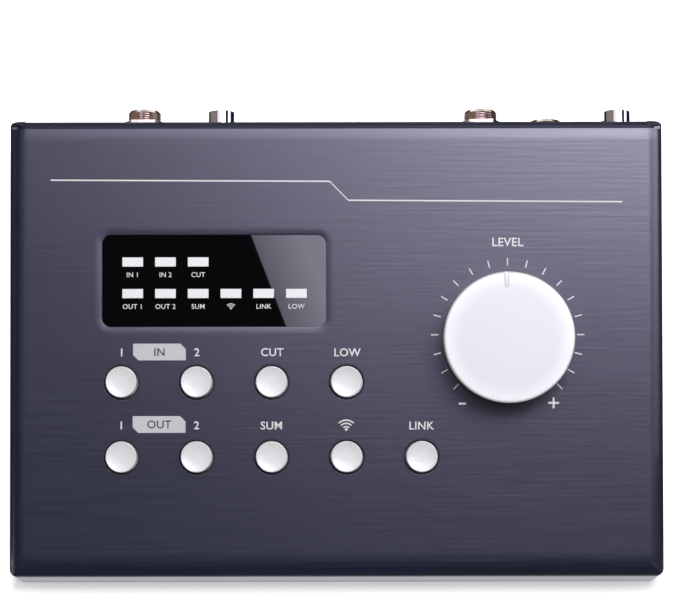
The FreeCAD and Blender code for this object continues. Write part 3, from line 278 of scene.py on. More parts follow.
def painted_rim_highlight(place):
    """How much lighter the knob is painted at this place, by its distance from the axis: painted
    shade in the middle of the face, and a painted highlight towards the rim.
    """
    across = place.vector("CROSS_PRODUCT", place.vector("SUBTRACT", place, axis_foot), axis_along)
    radius = across.vector("LENGTH", across, output="Value")
    way = radius.node("ShaderNodeMapRange", {"interpolation_type": "SMOOTHSTEP"},
                      {"Value": radius, "From Min": RING_FROM, "From Max": RING_TO})
    return way * (RIM_PAINTED_HIGHLIGHT - MIDDLE_PAINTED_SHADE) + MIDDLE_PAINTED_SHADE


# Only the knob gets the painted highlight of its rim.
for name, (colour, roughness, metallic, grain, tint, bump) in BLASTED.items():
    metal[name] = grained(name, colour, roughness, metallic=metallic, grain=grain, tint=tint,
                          bump=bump, painted_light=painted_rim_highlight if "knob" in name else None)
print("metals:", ", ".join(metal))

# %% [markdown]
# Mouldings come next. Spark-eroded moulds leave a fine even grain on housings and feet, and
# polished moulds leave a gloss on the switch and the relay cases. The window is cast acrylic,
# printed black behind: it has no grain at all, only a mirror surface. Its white bars are the ends
# of a light guide, and they glow softly. Inks, boards and the ribbon cable use the same recipe.

# %% Mouldings, rubber, acrylic and boards
PLASTICS = {  # colour, roughness, grain, tint and bump
    "grained_black_housing": ((0.030, 0.030, 0.033), 0.55, (2200, 2200, 2200), 0.2, 0.004),
    "gloss_black_switch": ((0.018, 0.018, 0.020), 0.18, (800, 800, 800), 0.1, 0.0004),
    "black_rubber": ((0.028, 0.028, 0.028), 0.82, (1500, 1500, 1500), 0.25, 0.01),
    "natural_nylon": ((0.74, 0.73, 0.68), 0.45, (900, 900, 900), 0.05, 0.002),
    "ivory_ring": ((0.80, 0.79, 0.75), 0.30, (900, 900, 900), 0.04, 0.001),
    "relay_blue": ((0.05, 0.07, 0.16), 0.28, (900, 900, 900), 0.1, 0.001),
    "capacitor_sleeve": ((0.02, 0.025, 0.05), 0.25, (500, 500, 4000), 0.15, 0.001),
    "lamp_resin": ((0.82, 0.78, 0.52), 0.20, (900, 900, 900), 0.05, 0.0005),
    "ribbon_vinyl": ((0.42, 0.42, 0.44), 0.50, (790, 40, 40), 0.35, 0.02),
    "solder_resist": ((0.012, 0.085, 0.040), 0.32, (1500, 1500, 300), 0.3, 0.004),
    "print_white": ((0.74, 0.74, 0.76), 0.55, (1500, 1500, 1500), 0.04, 0.001),
    "print_grey": ((0.51, 0.51, 0.53), 0.55, (1500, 1500, 1500), 0.04, 0.001),
    "print_dark": ((0.016, 0.017, 0.026), 0.6, (1500, 1500, 1500), 0.1, 0.001),
    # Painted shade: the near-black of the gaps round the button caps.
    "painted_gap_shade": ((0.004, 0.004, 0.006), 0.6, (1500, 1500, 1500), 0.1, 0.001),
    "pointer_white": ((0.88, 0.88, 0.90), 0.35, (900, 900, 900), 0.02, 0.001),
}
plastic = {
    name: grained(name, colour, roughness, grain=grain, tint=tint, bump=bump)
    for name, (colour, roughness, grain, tint, bump) in PLASTICS.items()
}
acrylic = grained("polished_black_acrylic", (0.0012, 0.0012, 0.0016), 0.012, grain=(60, 60, 60),
                  tint=0.2, spread=0.002, bump=0.0, IOR=1.8)
lit_bar = grained("lit_bar_acrylic", (0.80, 0.80, 0.84), 0.35, grain=(400, 400, 400), tint=0.02,
                  bump=0.0005, Emission_Color=(0.93, 0.93, 1.0, 1.0), Emission_Strength=0.1)
print("mouldings:", ", ".join([*plastic, acrylic.name, lit_bar.name]))

# %% [markdown]
# Each node of the construction model has one slot. The table says which finish goes into which
# slot, and the loop hangs it on every node that uses the slot. The mesh is left alone.

# %% Finishes for the construction nodes
SLOTS = {
    "cover_paint": case_paint, "tray_paint": tray_paint,
    "window_gloss": acrylic, "guide_white": lit_bar,
    "black_screw": metal["blackened_steel"], "plated_screw": metal["zinc_plate"],
    "plated_steel": metal["nickelled_steel"], "pot_can": metal["tinned_can"],
    "module_shield": metal["tinned_can"], "button_silver": metal["satin_cap_silver"],
    "knob_aluminium": metal["satin_knob_aluminium"], "nickel": metal["bright_nickel"],
    "chrome_shell": metal["bright_chrome"], "foot_rubber": plastic["black_rubber"],
    "led_body": plastic["lamp_resin"], "board_laminate": plastic["solder_resist"],
    "black_moulding": plastic["grained_black_housing"], "stem_nylon": plastic["natural_nylon"],
    "phono_ring": plastic["ivory_ring"], "switch_gloss": plastic["gloss_black_switch"],
    "relay_case": plastic["relay_blue"], "capacitor_can": plastic["capacitor_sleeve"],
    "ribbon_grey": plastic["ribbon_vinyl"],
}
slot_of = {part["node"]: part["material_slot"] for part in frame["record"]["subparts"]}
for name, node in frame["nodes"].items():
    node.material_slots[0].material = SLOTS[slot_of[name]]
frame["nodes"]["knob_pointer"].material_slots[0].material = plastic["pointer_white"]
print("dressed:", len(slot_of), "nodes in", len(SLOTS), "slots")

# %% [markdown]
# Every operator acts on what is selected, so the handwork begins with choosing. pick() opens a
# piece in edit mode and selects its faces, edges or corners by a rule on their place, and only()
# leaves edit mode again.

# %% Choosing what to work on
KINDS = {"VERT": "vertices", "EDGE": "edges", "FACE": "polygons"}


def leave_edit_mode():
    """Go back to object mode, where whole pieces are selected."""
    if bpy.context.mode != "OBJECT":
        bpy.ops.object.mode_set(mode="OBJECT")


def pick(piece, kind, rule):
    """Open the piece in edit mode and select only the elements that the rule is true for."""
    leave_edit_mode()
    for group in KINDS.values():
        for element in getattr(piece.data, group):
            element.select = False
    for element in getattr(piece.data, KINDS[kind]):
        element.select = rule(element)
    bpy.context.tool_settings.mesh_select_mode = [kind == name for name in KINDS]
    bpy.ops.object.mode_set(mode="EDIT")


def looks_up(face):
    return face.normal.z > 0.9


def looks_down(face):
    return face.normal.z < -0.9


def every(element):
    return True


def middle_of(piece, edge):
    """The middle of an edge."""
    a, b = (piece.data.vertices[k].co for k in edge.vertices)
    return (a + b) / 2


def only(piece):
    """Leave edit mode and make this piece the one that is selected and active."""
    leave_edit_mode()
    bpy.ops.object.select_all(action="DESELECT")
    piece.select_set(True)
    bpy.context.view_layer.objects.active = piece
    return piece


print("pick() works on", ", ".join(KINDS))

# %% [markdown]
# Every piece is modelled lying flat and then settled: settle() carries it to the panel, bakes
# that place into the mesh, and hangs the piece on the body that it moves with. copy_of() gives a
# repeated shape its own mesh, join() makes one piece of several, and thicken() makes a solid of a
# flat shape with Solidify.

# %% Copying, thickening and settling
def settle(piece, name, body, finish, place=PANEL, smooth=30.0):
    """Bake the place into the mesh, shade it, name it and hang it on its body."""
    only(piece)
    piece.matrix_world = place @ piece.matrix_world
    bpy.ops.object.transform_apply(location=True, rotation=True, scale=True)
    bpy.ops.object.shade_smooth_by_angle(angle=math.radians(smooth))
    piece.name = piece.data.name = name
    piece.data.materials.clear()
    piece.data.materials.append(finish)
    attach(piece, body)
    return piece


def copy_of(piece):
    """A second piece with a mesh of its own."""
    twin = piece.copy()
    twin.data = piece.data.copy()
    bpy.context.scene.collection.objects.link(twin)
    return twin


def join(pieces):
    """Make one mesh of several."""
    only(pieces[0])
    for piece in pieces:
        piece.select_set(True)
    bpy.ops.object.join()
    return pieces[0]


def thicken(piece, thickness, side):
    """Give a flat shape a thickness above where it lies, with side 1, or below it, with -1."""
    only(piece)
    solid = piece.modifiers.new("thick", "SOLIDIFY")
    solid.thickness, solid.offset = thickness, side
    bpy.ops.object.modifier_apply(modifier="thick")
    return piece


print("handwork is ready")

# %% [markdown]
# ## The volume knob
#
# The real knob is turned from aluminium bar: a slightly tapered side, a small rolled edge, and a
# face whose outer third falls away a little. It could be spun from a profile, but a cylinder with
# a few insets gives the same rings and closed poles at once. Each inset steps inwards and a
# little up, and smooth shading joins the steps.

# %% Knob body
KNOB_FOOT, KNOB_SHOULDER = 0.8 * MM, 15.5 * MM
KNOB_BASE, KNOB_FACE, KNOB_SIDES = 20.4 * MM, 20.75 * MM, 160
KNOB_RINGS = (    # millimetres inwards and up, from the shoulder to the middle
    (0.10, 0.42), (0.20, 0.33), (0.26, 0.17), (0.2, 0.02), (0.5, 0.01), (0.9, 0.02),
    (1.8, 0.02), (2.6, 0.01), (3.2, 0.01))
bpy.ops.mesh.primitive_cylinder_add(
    vertices=KNOB_SIDES, radius=KNOB_BASE, depth=KNOB_SHOULDER - KNOB_FOOT,
    location=(*KNOB_AT, (KNOB_FOOT + KNOB_SHOULDER) / 2))
knob = bpy.context.object
bpy.ops.object.transform_apply(location=True)
pick(knob, "FACE", looks_up)
taper = KNOB_FACE / KNOB_BASE
bpy.ops.transform.resize(value=(taper, taper, 1), center_override=(*KNOB_AT, KNOB_SHOULDER))
for inward, up in KNOB_RINGS:
    bpy.ops.mesh.inset(thickness=inward * MM, depth=up * MM)
print("knob rings:", len(KNOB_RINGS))

# %% [markdown]
# From below, a knob is a cup: a wall, a cavity that hides the nut of the potentiometer, and in
# the middle a boss that takes the shaft. Two more insets give the wall and the boss, and two
# extrusions push them up and down.

# %% Cavity and boss under the knob
WALL, CAVITY, BOSS_INSET, BOSS_DROP = 2.8 * MM, 12.0 * MM, 10.6 * MM, 9.6 * MM
pick(knob, "FACE", looks_down)
bpy.ops.mesh.inset(thickness=WALL, depth=0)
bpy.ops.mesh.extrude_region_move(TRANSFORM_OT_translate={"value": (0, 0, CAVITY)})
bpy.ops.mesh.inset(thickness=BOSS_INSET, depth=0)
bpy.ops.mesh.extrude_region_move(TRANSFORM_OT_translate={"value": (0, 0, -BOSS_DROP)})
only(knob)
print("knob height in mm:", round(knob.dimensions.z / MM, 2))

# %% [markdown]
# Two cuts finish the knob: a slot in the face for the white pointer and a bore in the side for
# the grub screw. Booleans are right here because both shapes run out of the body. The knob
# rests 2.7 degrees to the left of straight up, so both cutters are turned by that angle about
# the knob's axis. The slot is a little wider than the pointer, which leaves a thin shadow line
# round it.

# %% Slot and bore
REST = math.radians(2.7)
TURN = Matrix.Translation((*KNOB_AT, 0)) @ Matrix.Rotation(REST, 4, "Z")
POINTER_WIDE, POINTER_LONG, POINTER_RIM = 1.05 * MM, 4.5 * MM, 0.35 * MM
SLOT_GAP, SLOT_DEEP, SLOT_OVERRUN = 0.16 * MM, 0.9 * MM, 2 * MM
BORE_RADIUS, BORE_LONG, BORE_UP = 1.5 * MM, 24 * MM, 8 * MM
KNOB_TOP = 16.6 * MM


def bar(width, length, low, high, outer):
    """A bar with a rounded inner end that lies along the knob's radius, its outer end at outer."""
    bpy.ops.mesh.primitive_cube_add(size=1, location=(0, outer - length / 2, (low + high) / 2),
                                    scale=(width, length, high - low))
    made = bpy.context.object
    bpy.ops.object.transform_apply(location=True, scale=True)

    def inner_upright(edge):
        a, b = (made.data.vertices[k].co for k in edge.vertices)
        middle = (a + b) / 2
        inner = middle.y < outer - length + width / 4
        return inner and abs(middle.x) > width / 4 and abs(a.z - b.z) > 0.01 * MM

    pick(made, "EDGE", inner_upright)
    bpy.ops.mesh.bevel(offset=width * 0.3, segments=4, affect="EDGES")
    return only(made)


def cut(piece, cutter):
    """Take the cutter's shape out of the piece and throw the cutter away."""
    only(piece)
    boolean = piece.modifiers.new("cut", "BOOLEAN")
    boolean.operation, boolean.solver, boolean.object = "DIFFERENCE", "EXACT", cutter
    bpy.ops.object.modifier_apply(modifier="cut")
    bpy.data.objects.remove(cutter)


slot_cutter = bar(POINTER_WIDE + 2 * SLOT_GAP, POINTER_LONG + SLOT_GAP + SLOT_OVERRUN,
                  KNOB_TOP - SLOT_DEEP, KNOB_TOP + SLOT_OVERRUN / 2,
                  KNOB_FACE + SLOT_OVERRUN - POINTER_RIM)
slot_cutter.matrix_world = TURN
cut(knob, slot_cutter)
bpy.ops.mesh.primitive_cylinder_add(
    vertices=32, radius=BORE_RADIUS, depth=BORE_LONG, rotation=(math.pi / 2, 0, 0),
    location=(0, BORE_LONG / 2, BORE_UP))
bore = bpy.context.object
bpy.ops.object.transform_apply(location=True, rotation=True)
bore.matrix_world = TURN
cut(knob, bore)
settle(knob, "turned_knob", "knob", metal["satin_knob_aluminium"], smooth=24.0)
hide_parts("volume_knob")
print("knob faces:", len(knob.data.polygons))

# %% [markdown]
# The pointer is moulded in white and pressed into the slot, a tenth of a millimetre below the
# face. It is the same bar as the cutter, but smaller, with its upper rim bevelled.

# %% Pointer
POINTER_SUNK, POINTER_BED, POINTER_EDGE = 0.10 * MM, 0.02 * MM, 0.06 * MM
pointer = bar(POINTER_WIDE, POINTER_LONG, KNOB_TOP - SLOT_DEEP - POINTER_BED,
              KNOB_TOP - POINTER_SUNK, KNOB_FACE - POINTER_RIM - POINTER_SUNK)
pick(pointer, "FACE", looks_up)
bpy.ops.mesh.bevel(offset=POINTER_EDGE, segments=2, affect="EDGES")
settle(pointer, "inlaid_pointer", "knob", plastic["pointer_white"], PANEL @ TURN)
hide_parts("knob_pointer")
print("pointer faces:", len(pointer.data.polygons))

# %% [markdown]
# ## The push buttons
#
# Nine equal caps of satin silver. Their faces are dished by half a millimetre so that a
# fingertip finds them, and the rim is rounded, which shows as a thin bright line. One cap is
# modelled with its flange and neck, from a disc by insets and extrusions. The neck ends in a
# hole for the stem of the switch.

# %% One cap
FLANGE_LOW, FLANGE_TOP, CAP_SIDE = -3.1 * MM, -1.9 * MM, 2.5 * MM
FLANGE_RADIUS, CAP_RADIUS, NECK_RADIUS, NECK_LOW = 6.3 * MM, 4.95 * MM, 3.0 * MM, -6.7 * MM
STEM_HOLE, STEM_DEEP, ROUND_SIDES = 1.65 * MM, 1.8 * MM, 96
CAP_RINGS = (     # millimetres inwards and up, first over the rim and then down into the dish
    (0.03, 0.14), (0.08, 0.11), (0.14, 0.05), (0.12, -0.05), (0.4, -0.10), (0.8, -0.16),
    (0.9, -0.12), (0.9, -0.07))
bpy.ops.mesh.primitive_cylinder_add(
    vertices=ROUND_SIDES, radius=FLANGE_RADIUS, depth=FLANGE_TOP - FLANGE_LOW,
    location=(0, 0, (FLANGE_TOP + FLANGE_LOW) / 2))
cap = bpy.context.object
bpy.ops.object.transform_apply(location=True)
pick(cap, "FACE", looks_up)
bpy.ops.mesh.inset(thickness=FLANGE_RADIUS - CAP_RADIUS, depth=0)
bpy.ops.mesh.extrude_region_move(TRANSFORM_OT_translate={"value": (0, 0, CAP_SIDE - FLANGE_TOP)})
for inward, up in CAP_RINGS:
    bpy.ops.mesh.inset(thickness=inward * MM, depth=up * MM)
pick(cap, "FACE", looks_down)
bpy.ops.mesh.inset(thickness=FLANGE_RADIUS - NECK_RADIUS, depth=0)
bpy.ops.mesh.extrude_region_move(TRANSFORM_OT_translate={"value": (0, 0, NECK_LOW - FLANGE_LOW)})
bpy.ops.mesh.inset(thickness=NECK_RADIUS - STEM_HOLE, depth=0)
bpy.ops.mesh.extrude_region_move(TRANSFORM_OT_translate={"value": (0, 0, STEM_DEEP)})
only(cap)
print("cap faces:", len(cap.data.polygons))

# %% [markdown]
# The caps stand in two rows on one grid: four above and five below. Each copy replaces the plain
# cap of the construction model and rides on its own body, because each button is pressed alone.

# %% Nine caps
BUTTONS = {   # column and row
    "in_1": (0, 0), "in_2": (1, 0), "cut": (2, 0), "low": (3, 0),
    "out_1": (0, 1), "out_2": (1, 1), "sum": (2, 1), "wireless": (3, 1), "link": (4, 1),
}
FIRST_U, PITCH, ROWS_V = -68.8 * MM, 24.02 * MM, (-11.0 * MM, -34.95 * MM)
for name, (column, row) in BUTTONS.items():
    twin = copy_of(cap)
    twin.matrix_world = Matrix.Translation((FIRST_U + column * PITCH, ROWS_V[row], 0))
    settle(twin, "cap_" + name, "button_" + name, metal["satin_cap_silver"], smooth=28.0)
    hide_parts("button_" + name)
bpy.data.objects.remove(cap)
print("caps:", len(BUTTONS))

# %% [markdown]
# The holes are punched, so their edges are drawn in: a narrow slope of paint that leans inwards
# and catches the light on one side. Inside it is a near-black ring that slopes on down close to
# the cap: painted shade for the dark gap round the cap. Each is a disc that is inset, lowered and
# opened. Both rings sit a little towards the front, so the black shows wider there, a painted
# shadow below the cap.

# %% Edges of the holes and the painted shade in them
# How far both rings sit towards the front, which widens the painted shadow there.
PAINTED_SHADOW_SHIFT = -0.12 * MM
SKIN = 0.03 * MM
LIP = {"radius": 6.0 * MM, "height": 0.10 * MM, "over": 0.05 * MM, "slope": 0.32 * MM,
       "drop": -0.08 * MM}
# The near-black ring is painted shade for the gap round each cap.
GAP_SHADE_RING = {"radius": 5.70 * MM, "height": 0.04 * MM, "over": 0.26 * MM, "slope": 0.26 * MM,
        "drop": -1.1 * MM}


def edge_ring(x, y, radius, height, over, slope, drop):
    """A ring that runs level over the sheet and then leans inwards into the hole."""
    bpy.ops.mesh.primitive_circle_add(vertices=ROUND_SIDES, radius=radius, fill_type="NGON",
                                      location=(x, y, height))
    disc = bpy.context.object
    bpy.ops.object.transform_apply(location=True)
    pick(disc, "FACE", every)
    bpy.ops.mesh.inset(thickness=over, depth=0)
    bpy.ops.mesh.inset(thickness=slope, depth=drop)
    bpy.ops.mesh.delete(type="FACE")
    return thicken(disc, SKIN, -1)


HOLES = [(FIRST_U + column * PITCH, ROWS_V[row] + PAINTED_SHADOW_SHIFT) for column, row in BUTTONS.values()]
lips = join([edge_ring(x, y, **LIP) for x, y in HOLES])
settle(lips, "drawn_in_lips", "case", case_paint)
# The near-black rings are painted shade in the gaps round the caps.
edges = join([edge_ring(x, y, **GAP_SHADE_RING) for x, y in HOLES])
settle(edges, "painted_gap_shade_rings", "case", plastic["painted_gap_shade"])
print("holes:", len(HOLES))

# %% [markdown]
# ## The print
#
# The panel is screen printed. Ink has a real thickness, so every mark here is a flat shape that
# is raised by four hundredths of a millimetre. The stripe is one plane, drawn on by extruding its
# end edge along the run: level, down the step, and level again.

# %% Ink and the stripe
INK = 0.04 * MM


def flat(width, height, x=0.0, y=0.0, z=0.0):
    """A flat rectangle at its place, ready for edit mode."""
    leave_edit_mode()
    bpy.ops.mesh.primitive_plane_add(size=1, location=(x, y, z))
    made = bpy.context.object
    made.scale = (width, height, 1)
    bpy.ops.object.transform_apply(location=True, scale=True)
    return made


STRIPE_WIDE, STRIPE_START = 0.45 * MM, 0.2 * MM
STRIPE = [Vector(p) * MM for p in ((-91.5, 53.8), (-2.2, 53.3), (3.8, 47.2), (91.7, 46.6))]
stripe = flat(STRIPE_START, STRIPE_WIDE, STRIPE[0].x, STRIPE[0].y)
pick(stripe, "EDGE", lambda edge: middle_of(stripe, edge).x > STRIPE[0].x + STRIPE_START / 4)
for start, end in zip(STRIPE, STRIPE[1:]):
    step = end - start
    bpy.ops.mesh.extrude_region_move(TRANSFORM_OT_translate={"value": (step.x, step.y, 0)})
settle(thicken(stripe, INK, 1), "print_stripe", "case", plastic["print_white"])
print("stripe runs:", len(STRIPE) - 1)

# %% [markdown]
# The dial has nineteen ticks from the lowest to the highest setting, fifteen degrees apart. One
# tick is a thin plane whose corners are bevelled, as ink rounds them. It is copied and turned
# about the middle of the ring, and the copies are joined.

# %% Dial ticks
RING = Vector((54.9, 3.95)) * MM
TICK_IN, TICK_OUT, TICK_WIDE = 22.2 * MM, 24.6 * MM, 0.36 * MM
TICKS, TICK_STEP = 19, math.radians(15)
tick = flat(TICK_WIDE, TICK_OUT - TICK_IN, 0, (TICK_IN + TICK_OUT) / 2)
pick(tick, "VERT", every)
bpy.ops.mesh.bevel(offset=TICK_WIDE * 0.25, segments=2, affect="VERTICES")
thicken(tick, INK, 1)
ticks = []
for k in range(TICKS):
    twin = copy_of(tick)
    turn = (k - TICKS // 2) * TICK_STEP
    twin.matrix_world = Matrix.Translation((*RING, 0)) @ Matrix.Rotation(turn, 4, "Z")
    ticks.append(twin)
bpy.data.objects.remove(tick)
dial = settle(join(ticks), "print_ticks", "case", plastic["print_white"])
print("ticks:", TICKS)

# %% [markdown]
# The minus is a short bar. The plus grows from a small square by pushing each of its four edges
# outwards, which keeps it one flat sheet.

# %% Minus and plus
SIGN, PLUS_ARM, MINUS_LONG = 0.62 * MM, 1.4 * MM, 2.3 * MM
MINUS_AT, PLUS_AT = Vector((40.3, -18.1, 0)) * MM, Vector((69.5, -17.9, 0)) * MM
minus = flat(MINUS_LONG, SIGN, *MINUS_AT)
pick(minus, "VERT", every)
bpy.ops.mesh.bevel(offset=SIGN * 0.15, segments=2, affect="VERTICES")
plus = flat(SIGN, SIGN, *PLUS_AT)
for outwards in (Vector((1, 0, 0)), Vector((0, 1, 0)), Vector((-1, 0, 0)), Vector((0, -1, 0))):
    side = PLUS_AT + outwards * SIGN / 2
    pick(plus, "EDGE", lambda edge: (middle_of(plus, edge) - side).length < SIGN / 12)
    bpy.ops.mesh.extrude_region_move(TRANSFORM_OT_translate={"value": outwards * PLUS_ARM})
signs = join([thicken(minus, INK, 1), thicken(plus, INK, 1)])
settle(signs, "print_signs", "case", plastic["print_white"])
print("signs:", len(signs.data.polygons), "faces")

# %% [markdown]
# Words are text objects, turned into meshes before they are placed. Blender sizes text by its
# line, not by its letters, so the height of a capital H is measured once and every word is scaled
# to the height that it has in print. The words are plain ones that any maker could use.

# %% Words
LETTER_SPACE, CURVE_STEPS = 1.04, 3


def text_mesh(words, bold=0.0):
    """The words as a flat mesh, as large as Blender makes them."""
    bpy.ops.object.text_add()
    made = bpy.context.object
    made.data.body, made.data.align_x, made.data.align_y = words, "CENTER", "BOTTOM_BASELINE"
    made.data.offset, made.data.resolution_u = bold, CURVE_STEPS
    made.data.space_character = LETTER_SPACE
    bpy.ops.object.convert(target="MESH")
    return bpy.context.object


letter = text_mesh("H")
CAPITAL = max(v.co.y for v in letter.data.vertices)
bpy.data.objects.remove(letter)


def word(words, x, y, capital, bold=0.012):
    """A word in ink, centred on x and y in millimetres, with capitals of this height."""
    made = text_mesh(words, bold)
    size = capital * MM / CAPITAL
    made.scale = (size, size, size)
    made.location = (x * MM, (y - capital / 2) * MM, 0)
    only(made)
    bpy.ops.object.transform_apply(location=True, rotation=True, scale=True)
    return thicken(made, INK, 1)


print("capital height of the font:", round(CAPITAL, 3))

# %% [markdown]
# The wireless button has no word but a sign: three arcs that spread from a dot. A disc is inset,
# its middle taken out, and the ring cut down to a wedge with two bisections.

# %% The sign of radio waves
WAVE_RADII, WAVE_THICK = (0.42, 0.72, 1.0), 0.12      # shares of the height of the sign


def arc(radius, thick, x, y):
    """A quarter of a ring, open upwards, about the point x and y."""
    bpy.ops.mesh.primitive_circle_add(vertices=64, radius=radius, fill_type="NGON")
    made = bpy.context.object
    pick(made, "FACE", every)
    bpy.ops.mesh.inset(thickness=thick, depth=0)
    bpy.ops.mesh.delete(type="FACE")
    for side in (1, -1):
        pick(made, "FACE", every)
        bpy.ops.mesh.bisect(plane_co=(0, 0, 0), plane_no=(side, -1, 0), clear_outer=True)
    only(made)
    made.matrix_world = Matrix.Translation((x, y, 0))
    bpy.ops.object.transform_apply(location=True)
    return thicken(made, INK, 1)


def waves(x, y, height):
    """Three arcs and a dot, centred on x and y in millimetres."""
    thick, foot = WAVE_THICK * height * MM, (y - height / 2) * MM
    parts = [arc(radius * height * MM, thick, x * MM, foot) for radius in WAVE_RADII]
    bpy.ops.mesh.primitive_circle_add(vertices=24, radius=thick, fill_type="NGON",
                                      location=(x * MM, foot + thick, 0))
    dot = bpy.context.object
    bpy.ops.object.transform_apply(location=True)
    pick(dot, "FACE", every)
    bpy.ops.mesh.inset(thickness=thick * 0.3, depth=0)
    return parts + [thicken(dot, INK, 1)]


print("waves() is ready")

# %% [markdown]
# Each button has its word just above it, and the dial has one over its ring. All of them are one
# white print, so they are joined to one piece.

# %% Words on the panel
CAPS, DIAL_CAPS, WAVES_HIGH = 2.45, 2.6, 3.6
PANEL_WORDS = (
    ("1", -68.8, -1.5), ("2", -44.7, -1.5), ("CUT", -20.6, -1.5), ("LOW", 3.4, -1.6),
    ("1", -68.9, -24.9), ("2", -44.8, -24.9), ("SUM", -20.8, -25.0), ("LINK", 27.1, -25.1))
panel_words = [word(words, x, y, CAPS) for words, x, y in PANEL_WORDS]
panel_words += [word("LEVEL", 54.9, 33.7, DIAL_CAPS), *waves(3.1, -24.9, WAVES_HIGH)]
lettering = settle(join(panel_words), "print_words", "case", plastic["print_white"])
print("panel words:", len(lettering.data.polygons), "faces")

# %% [markdown]
# Between the first two buttons of each row is a grey tag with two cut corners and a dark word on
# it. The corners are bevelled as corners, not as edges, with one segment.

# %% Tags
TAG_WIDE, TAG_HIGH, TAG_CUT = 16.9 * MM, 5.35 * MM, 1.75 * MM
TAG_PLACES = {"IN": (-56.7, -1.4), "OUT": (-56.8, -24.6)}
tags, tag_words = [], []
for words, (x, y) in TAG_PLACES.items():
    tag = flat(TAG_WIDE, TAG_HIGH, x * MM, y * MM)
    pick(tag, "VERT", lambda corner: (corner.co.x - x * MM) * (corner.co.y - y * MM) > 0)
    bpy.ops.mesh.bevel(offset=TAG_CUT, segments=1, affect="VERTICES")
    tags.append(thicken(tag, INK, 1))
    lettered = word(words, x, y, CAPS, bold=0.008)
    lettered.matrix_world = Matrix.Translation((0, 0, INK))
    bpy.ops.object.transform_apply(location=True)
    tag_words.append(lettered)
tag_plates = settle(join(tags), "print_tags", "case", plastic["print_grey"])
tag_print = settle(join(tag_words), "print_tag_words", "case", plastic["print_dark"])
print("tags:", len(TAG_PLACES))

# %% [markdown]
# The window has a small word below each bar. Its face lies half a millimetre below the panel, so
# these words are lowered by that.

# %% Words in the window
WINDOW_FACE = Matrix.Translation((0, 0, -0.5 * MM))
SMALL_CAPS, SMALL_WAVES_HIGH = 1.5, 1.9
WINDOW_WORDS = (
    ("IN 1", -65.3, 23.4), ("IN 2", -54.8, 23.4), ("CUT", -44.3, 23.4), ("OUT 1", -65.3, 13.2),
    ("OUT 2", -54.8, 13.2), ("SUM", -44.3, 13.2), ("LINK", -23.3, 13.2), ("LOW", -12.8, 13.2))
window_words = [word(words, x, y, SMALL_CAPS, bold=0.004) for words, x, y in WINDOW_WORDS]
window_words += waves(-33.8, 13.2, SMALL_WAVES_HIGH)
small_print = join(window_words)
settle(small_print, "print_window", "case", plastic["print_white"], PANEL @ WINDOW_FACE)
print("words in the window:", len(WINDOW_WORDS))

# %% [markdown]
# The last words stand on the rear wall and are read from behind. REAR turns a flat piece so that
# its top points up and its face looks along +Y. Seen from there X runs to the left, so each word
# is written at minus its X.

# %% Words on the rear wall
REAR_CAPS = 1.9
UPRIGHT = Matrix.Rotation(math.pi, 4, "Z") @ Matrix.Rotation(math.pi / 2, 4, "X")
REAR = Matrix.Translation((0, tray_high.y, 0)) @ UPRIGHT
REAR_WORDS = (     # X and height over the table in millimetres
    ("L", -72.6, 33.7), ("R", -72.6, 18.2), ("IN 1", -62.3, 43.0), ("IN 2", -37.3, 43.0),
    ("OUT 1", 47.0, 43.0), ("L", 36.7, 33.7), ("R", 36.7, 18.2), ("OUT 2", 91.5, 43.0),
    ("LOW", 69.2, 28.4), ("DC", -12.0, 23.6), ("OFF", 9.6, 36.6), ("ON", 18.6, 36.6))
rear_words = [word(words, -x, z, REAR_CAPS) for words, x, z in REAR_WORDS]
rear_print = settle(join(rear_words), "print_rear", "case", plastic["print_white"], REAR)
print("words on the rear wall:", len(REAR_WORDS))

# %% [markdown]
# ## The table and the light
#
# The controller stands on a white table in a white room. A pale floor lit at a plain level is just
# short of white, so it glows for rays that come from the camera or from a mirror. The glow is
# turned down close to the case, which paints a shadow there on top of the real one. In front of
# the case this painted shadow reaches further than at the sides and behind.

# %% Floor
FLOOR_WIDE, FRONT_REACH = 6.0, 1.9
# The glow is lowest right at the case, a painted shadow, and full further out.
FADE_FROM, FADE_TO, GLOW_IN_PAINTED_SHADOW, GLOW_FAR = -6 * MM, 7 * MM, 0.05, 0.8


def plain_sight(tree):
    """One for rays from the camera, from a mirror or through glass, and zero for all others."""
    start = Wire(tree)
    eye, mirror, glass = (start.node("ShaderNodeLightPath", output=f"Is {ray} Ray")
                          for ray in ("Camera", "Glossy", "Transmission"))
    return eye + mirror + glass


bpy.ops.mesh.primitive_plane_add(size=FLOOR_WIDE)
floor = bpy.context.object
floor.name = "table"
table = bpy.data.materials.new("white_table")
table.use_nodes = True
table_shader = table.node_tree.nodes["Principled BSDF"]
table_shader.inputs["Base Color"].default_value = (0.9, 0.9, 0.9, 1.0)
table_shader.inputs["Roughness"].default_value = 0.9
table_shader.inputs["Emission Color"].default_value = (1.0, 1.0, 1.0, 1.0)
seen = plain_sight(table.node_tree)
spot = seen.node("ShaderNodeTexCoord", output="Object")
x, y = (spot.node("ShaderNodeSeparateXYZ", inputs={0: spot}, output=axis) for axis in "XY")
beside = x.maths("ABSOLUTE", x) - cover_high.x
beyond = y.maths("MAXIMUM", (cover_low.y - y) / FRONT_REACH, y - cover_high.y)
away = beside.maths("MAXIMUM", beside, beyond)
# Painted shadow: the glow comes up with the distance from the case.
glow_with_painted_shadow = away.node("ShaderNodeMapRange", {"interpolation_type": "SMOOTHERSTEP"}, {
    "Value": away, "From Min": FADE_FROM, "From Max": FADE_TO,
    "To Min": GLOW_IN_PAINTED_SHADOW, "To Max": GLOW_FAR})
table.node_tree.links.new((seen * glow_with_painted_shadow).socket, table_shader.inputs["Emission Strength"])
floor.data.materials.append(table)
print("table:", floor.dimensions[:])

# %% [markdown]
# The room is white to the eye and in every mirror, but lights the object at less than half of
# that, so pale finishes keep their own colour.

